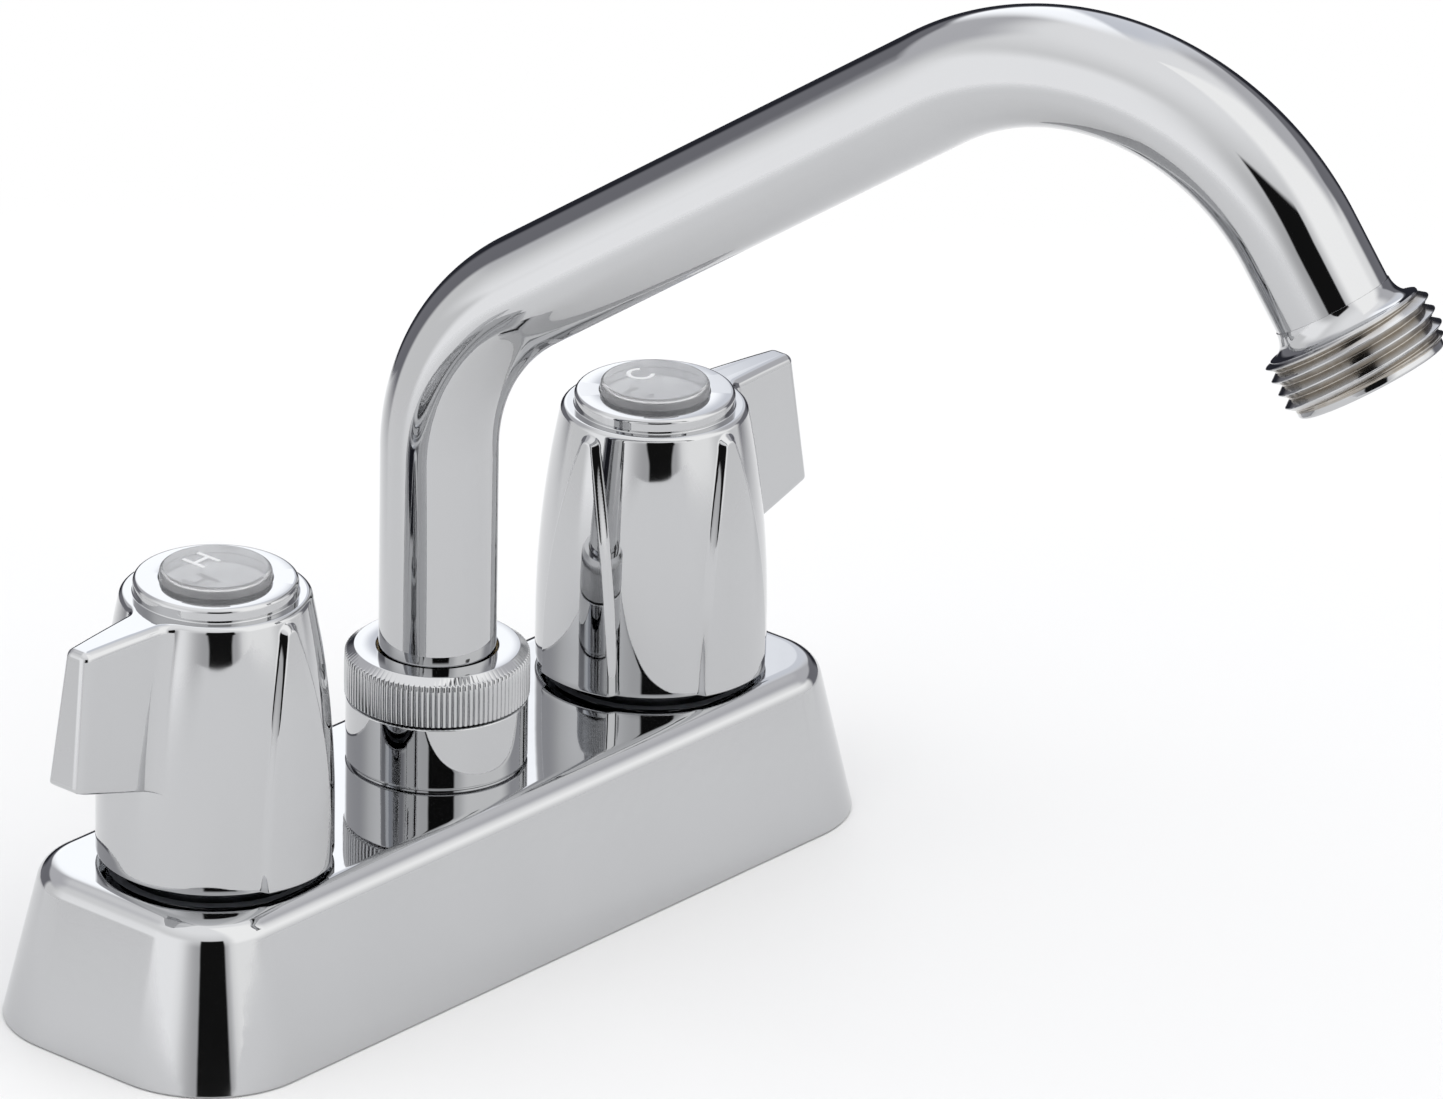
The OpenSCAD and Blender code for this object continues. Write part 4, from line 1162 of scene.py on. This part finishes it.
def studio_world(studio):
    """Surroundings as the chrome shows them, by direction: soft grey all round and lighter
    overhead, a bright soft box on either side, a dark gap behind the camera, and behind the faucet
    a dark cloth below a white sheet. The picture's own background is white. rise is a direction's
    height in degrees, turn its angle to the right of the camera's, and wide that to either side."""
    world = bpy.data.worlds.new("studio")
    world.use_nodes = True
    world.node_tree.nodes.clear()
    m = NodeTree(world.node_tree)
    place = m.node("TexCoord").outputs["Generated"]
    x, y, z = m.node("SeparateXYZ", {0: place}).outputs
    rise = m.degrees("ARCSINE", m.maths("MAXIMUM", m.maths("MINIMUM", z, STEEPEST), -STEEPEST))
    to_x, to_y = math.sin(studio.azimuth), -math.cos(studio.azimuth)
    aside = m.maths("SUBTRACT", m.product(y, to_x), m.product(x, to_y))
    toward = m.maths("ADD", m.product(x, to_x), m.product(y, to_y))
    turn = m.degrees("ARCTAN2", aside, toward)
    wide = m.maths("ABSOLUTE", turn)

    left_edge = m.maths("ADD", m.product(m.fall(-2, 6, rise), m.step(-80, -71, turn)),
                        m.product(m.step(-2, 6, rise), m.step(-106, -72, turn)))
    left_box = m.product(left_edge, m.fall(-44, -14, turn), m.fall(20, 38, rise))
    right_box = m.maths("MAXIMUM",
                        m.product(m.band(turn, (26, 44), (100, 126)), m.step(-8, 20, rise)),
                        m.product(m.band(turn, (24, 42), (64, 82)), m.step(-14, -4, rise), 0.6))
    above_deck = m.step(-24, -13, rise)
    halo = m.product(m.band(turn, (-34, -8), (24, 34)), m.fall(-4, 30, rise), above_deck)
    dim_wall = m.product(m.band(wide, (90, 114), (150, 168)), m.band(rise, (14, 24), (40, 60)))
    behind = m.step(150, 170, wide)
    sheet = m.product(behind, m.band(rise, (4, 16), (50, 75)))
    sheet_tone = m.blend(m.step(-0.03, 0.03, aside), (1.66, 1.69, 1.74), (0.95, 0.98, 1.06))
    cloth_height = m.maths("ADD", rise, m.product(behind, 10.0))
    cloth = m.product(m.step(115, 123, wide), m.fall(20, 25, cloth_height))
    deep_cloth = m.product(m.step(146, 158, wide), m.fall(5, 13, rise))
    open_out = m.product(m.step(-3.0, 0.0, rise), 4.0)
    gap = m.product(m.step(-6, -3, m.maths("ADD", turn, open_out)),
                    m.fall(19, 22, m.maths("SUBTRACT", turn, open_out)),
                    m.fall(27, 32, rise), above_deck)

    seen = m.blend(m.step(15, 70, rise), (0.94, 0.94, 0.945), (1.28, 1.28, 1.29))
    for where, tone in (
        (left_box, (1.36, 1.36, 1.37)),
        (right_box, (1.50, 1.495, 1.48)),
        (halo, (0.56, 0.56, 0.57)),
        (dim_wall, (0.70, 0.70, 0.73)),
        (sheet, sheet_tone),
        (cloth, (0.23, 0.23, 0.255)),
        (deep_cloth, (0.026, 0.027, 0.036)),
        (gap, (0.010, 0.010, 0.010)),
    ):
        seen = m.blend(where, seen, tone)

    rays = m.node("LightPath").outputs
    plain = m.maths("MAXIMUM", rays["Is Camera Ray"], rays["Is Transmission Ray"])
    back = m.node("Background", {"Color": m.blend(plain, seen, WHITE)})
    m.node("OutputWorld", {"Surface": back.outputs[0]})
    return world


def deck_finish(studio):
    """The white deck. It ends in a soft edge that follows the sides of the picture. Past that edge
    the camera sees plain white, and reflections see the surroundings."""
    pale = [studio.deck_white] * 3
    m = Finish("pale_deck", Base_Color=pale, Roughness=0.8, Specular_IOR_Level=0.0)
    place = m.node("TexCoord").outputs["Object"]
    turned_place = m.node("Mapping", {"Vector": place, "Rotation": (0, 0, -studio.azimuth)})
    across, away, _ = m.node("SeparateXYZ", {0: turned_place.outputs["Vector"]}).outputs
    forward = m.maths("MAXIMUM", m.product(away, -1.0), 0.0)
    rightward = m.maths("SUBTRACT", across, m.product(forward, studio.deck_spread))
    back, front, soft = studio.deck_back, -studio.deck_front, studio.deck_soft
    left, right, side_soft = -studio.deck_left, studio.deck_right, studio.deck_side_soft
    beyond = m.maths("MAXIMUM", m.step(back, back + soft, away), m.fall(front - soft, front, away))
    beyond = m.maths("MAXIMUM", beyond, m.step(right, right + side_soft, rightward))
    beyond = m.maths("MAXIMUM", beyond, m.fall(left - side_soft, left, across))
    clear = m.node("BsdfTransparent").outputs[0]
    white = m.node("Emission", {"Color": WHITE, "Strength": 1.0}).outputs[0]
    by_camera = m.node("LightPath").outputs["Is Camera Ray"]
    past = m.node("MixShader", {0: by_camera, 1: clear, 2: white}).outputs[0]
    sheet = m.node("MixShader", {0: beyond, 1: m.shader.outputs[0], 2: past}).outputs[0]
    m.feed(m.tree.nodes["Material Output"].inputs["Surface"], sheet)
    return m.material


class FAUCET_OT_stage(Operator):
    """Set up the deck, the surroundings, the lamp and the camera"""

    bl_idname = "faucet.stage"
    bl_label = "Stage"

    def execute(self, context):
        scene, studio = context.scene, context.scene.faucet.studio
        camera = bpy.data.cameras.new("photo_view")
        camera.lens, camera.sensor_width, camera.sensor_fit = studio.lens, SENSOR_W, "HORIZONTAL"
        camera.clip_start, camera.clip_end = CLIP_NEAR, CLIP_FAR
        view = bpy.data.objects.new("photo_view", camera)
        scene.collection.objects.link(view)
        columns = np.column_stack([*camera_axes(studio), studio.camera_at])
        view.matrix_world = Matrix([*columns.tolist(), (0, 0, 0, 1)])
        scene.camera = view

        x, y = np.meshgrid([-DECK_REACH, DECK_REACH], [-DECK_REACH, DECK_REACH], indexing="ij")
        mesh = surface_mesh("deck", [(points(x, y, DECK_Z), False, False)])
        deck = bpy.data.objects.new("deck", mesh)
        deck.data.materials.append(deck_finish(studio))
        scene.collection.objects.link(deck)

        lamp = bpy.data.lights.new("soft_overhead", "AREA")
        lamp.shape, lamp.size, lamp.energy = "DISK", LAMP_SIZE, studio.lamp_power
        light = bpy.data.objects.new("soft_overhead", lamp)
        light.location = LAMP_AT
        light.rotation_mode = "QUATERNION"
        light.rotation_quaternion = Vector(LAMP_AT).to_track_quat("Z", "Y")
        light.visible_camera = False
        light.visible_glossy = False
        scene.collection.objects.link(light)

        scene.world = studio_world(studio)
        scene.view_settings.view_transform = "Standard"
        return {"FINISHED"}


class FAUCET_PT_panel(Panel):
    """Lists the faucet's builders"""

    bl_label = "Faucet"
    bl_idname = "FAUCET_PT_panel"
    bl_space_type = "VIEW_3D"
    bl_region_type = "UI"
    bl_category = "Faucet"

    def draw(self, context):
        for operator in OPERATORS:
            self.layout.operator(operator.bl_idname)
        for group in FaucetSettings.__annotations__:
            box = self.layout.box()
            box.label(text=group.title())
            values = getattr(context.scene.faucet, group)
            for name in values.__annotations__:
                box.prop(values, name)


GROUPS = (FaucetBase, FaucetSpout, FaucetHandle, FaucetFinish, FaucetStudio, FaucetSettings)
OPERATORS = (
    FAUCET_OT_inner_parts, FAUCET_OT_base, FAUCET_OT_hub, FAUCET_OT_spout, FAUCET_OT_hose_end,
    FAUCET_OT_handles, FAUCET_OT_caps, FAUCET_OT_stage,
)


def register():
    """Registers the classes and the scene's settings."""
    for item in (*GROUPS, *OPERATORS, FAUCET_PT_panel):
        bpy.utils.register_class(item)
    bpy.types.Scene.faucet = PointerProperty(type=FaucetSettings)


def unregister():
    """Takes the settings and the classes away again."""
    del bpy.types.Scene.faucet
    for item in (FAUCET_PT_panel, *reversed(OPERATORS), *reversed(GROUPS)):
        bpy.utils.unregister_class(item)


def main():
    register()
    bpy.ops.faucet.inner_parts()
    bpy.ops.faucet.base()
    bpy.ops.faucet.hub()
    bpy.ops.faucet.spout()
    bpy.ops.faucet.hose_end()
    bpy.ops.faucet.handles()
    bpy.ops.faucet.caps()
    bpy.ops.faucet.stage()


if __name__ == "__main__":
    main()
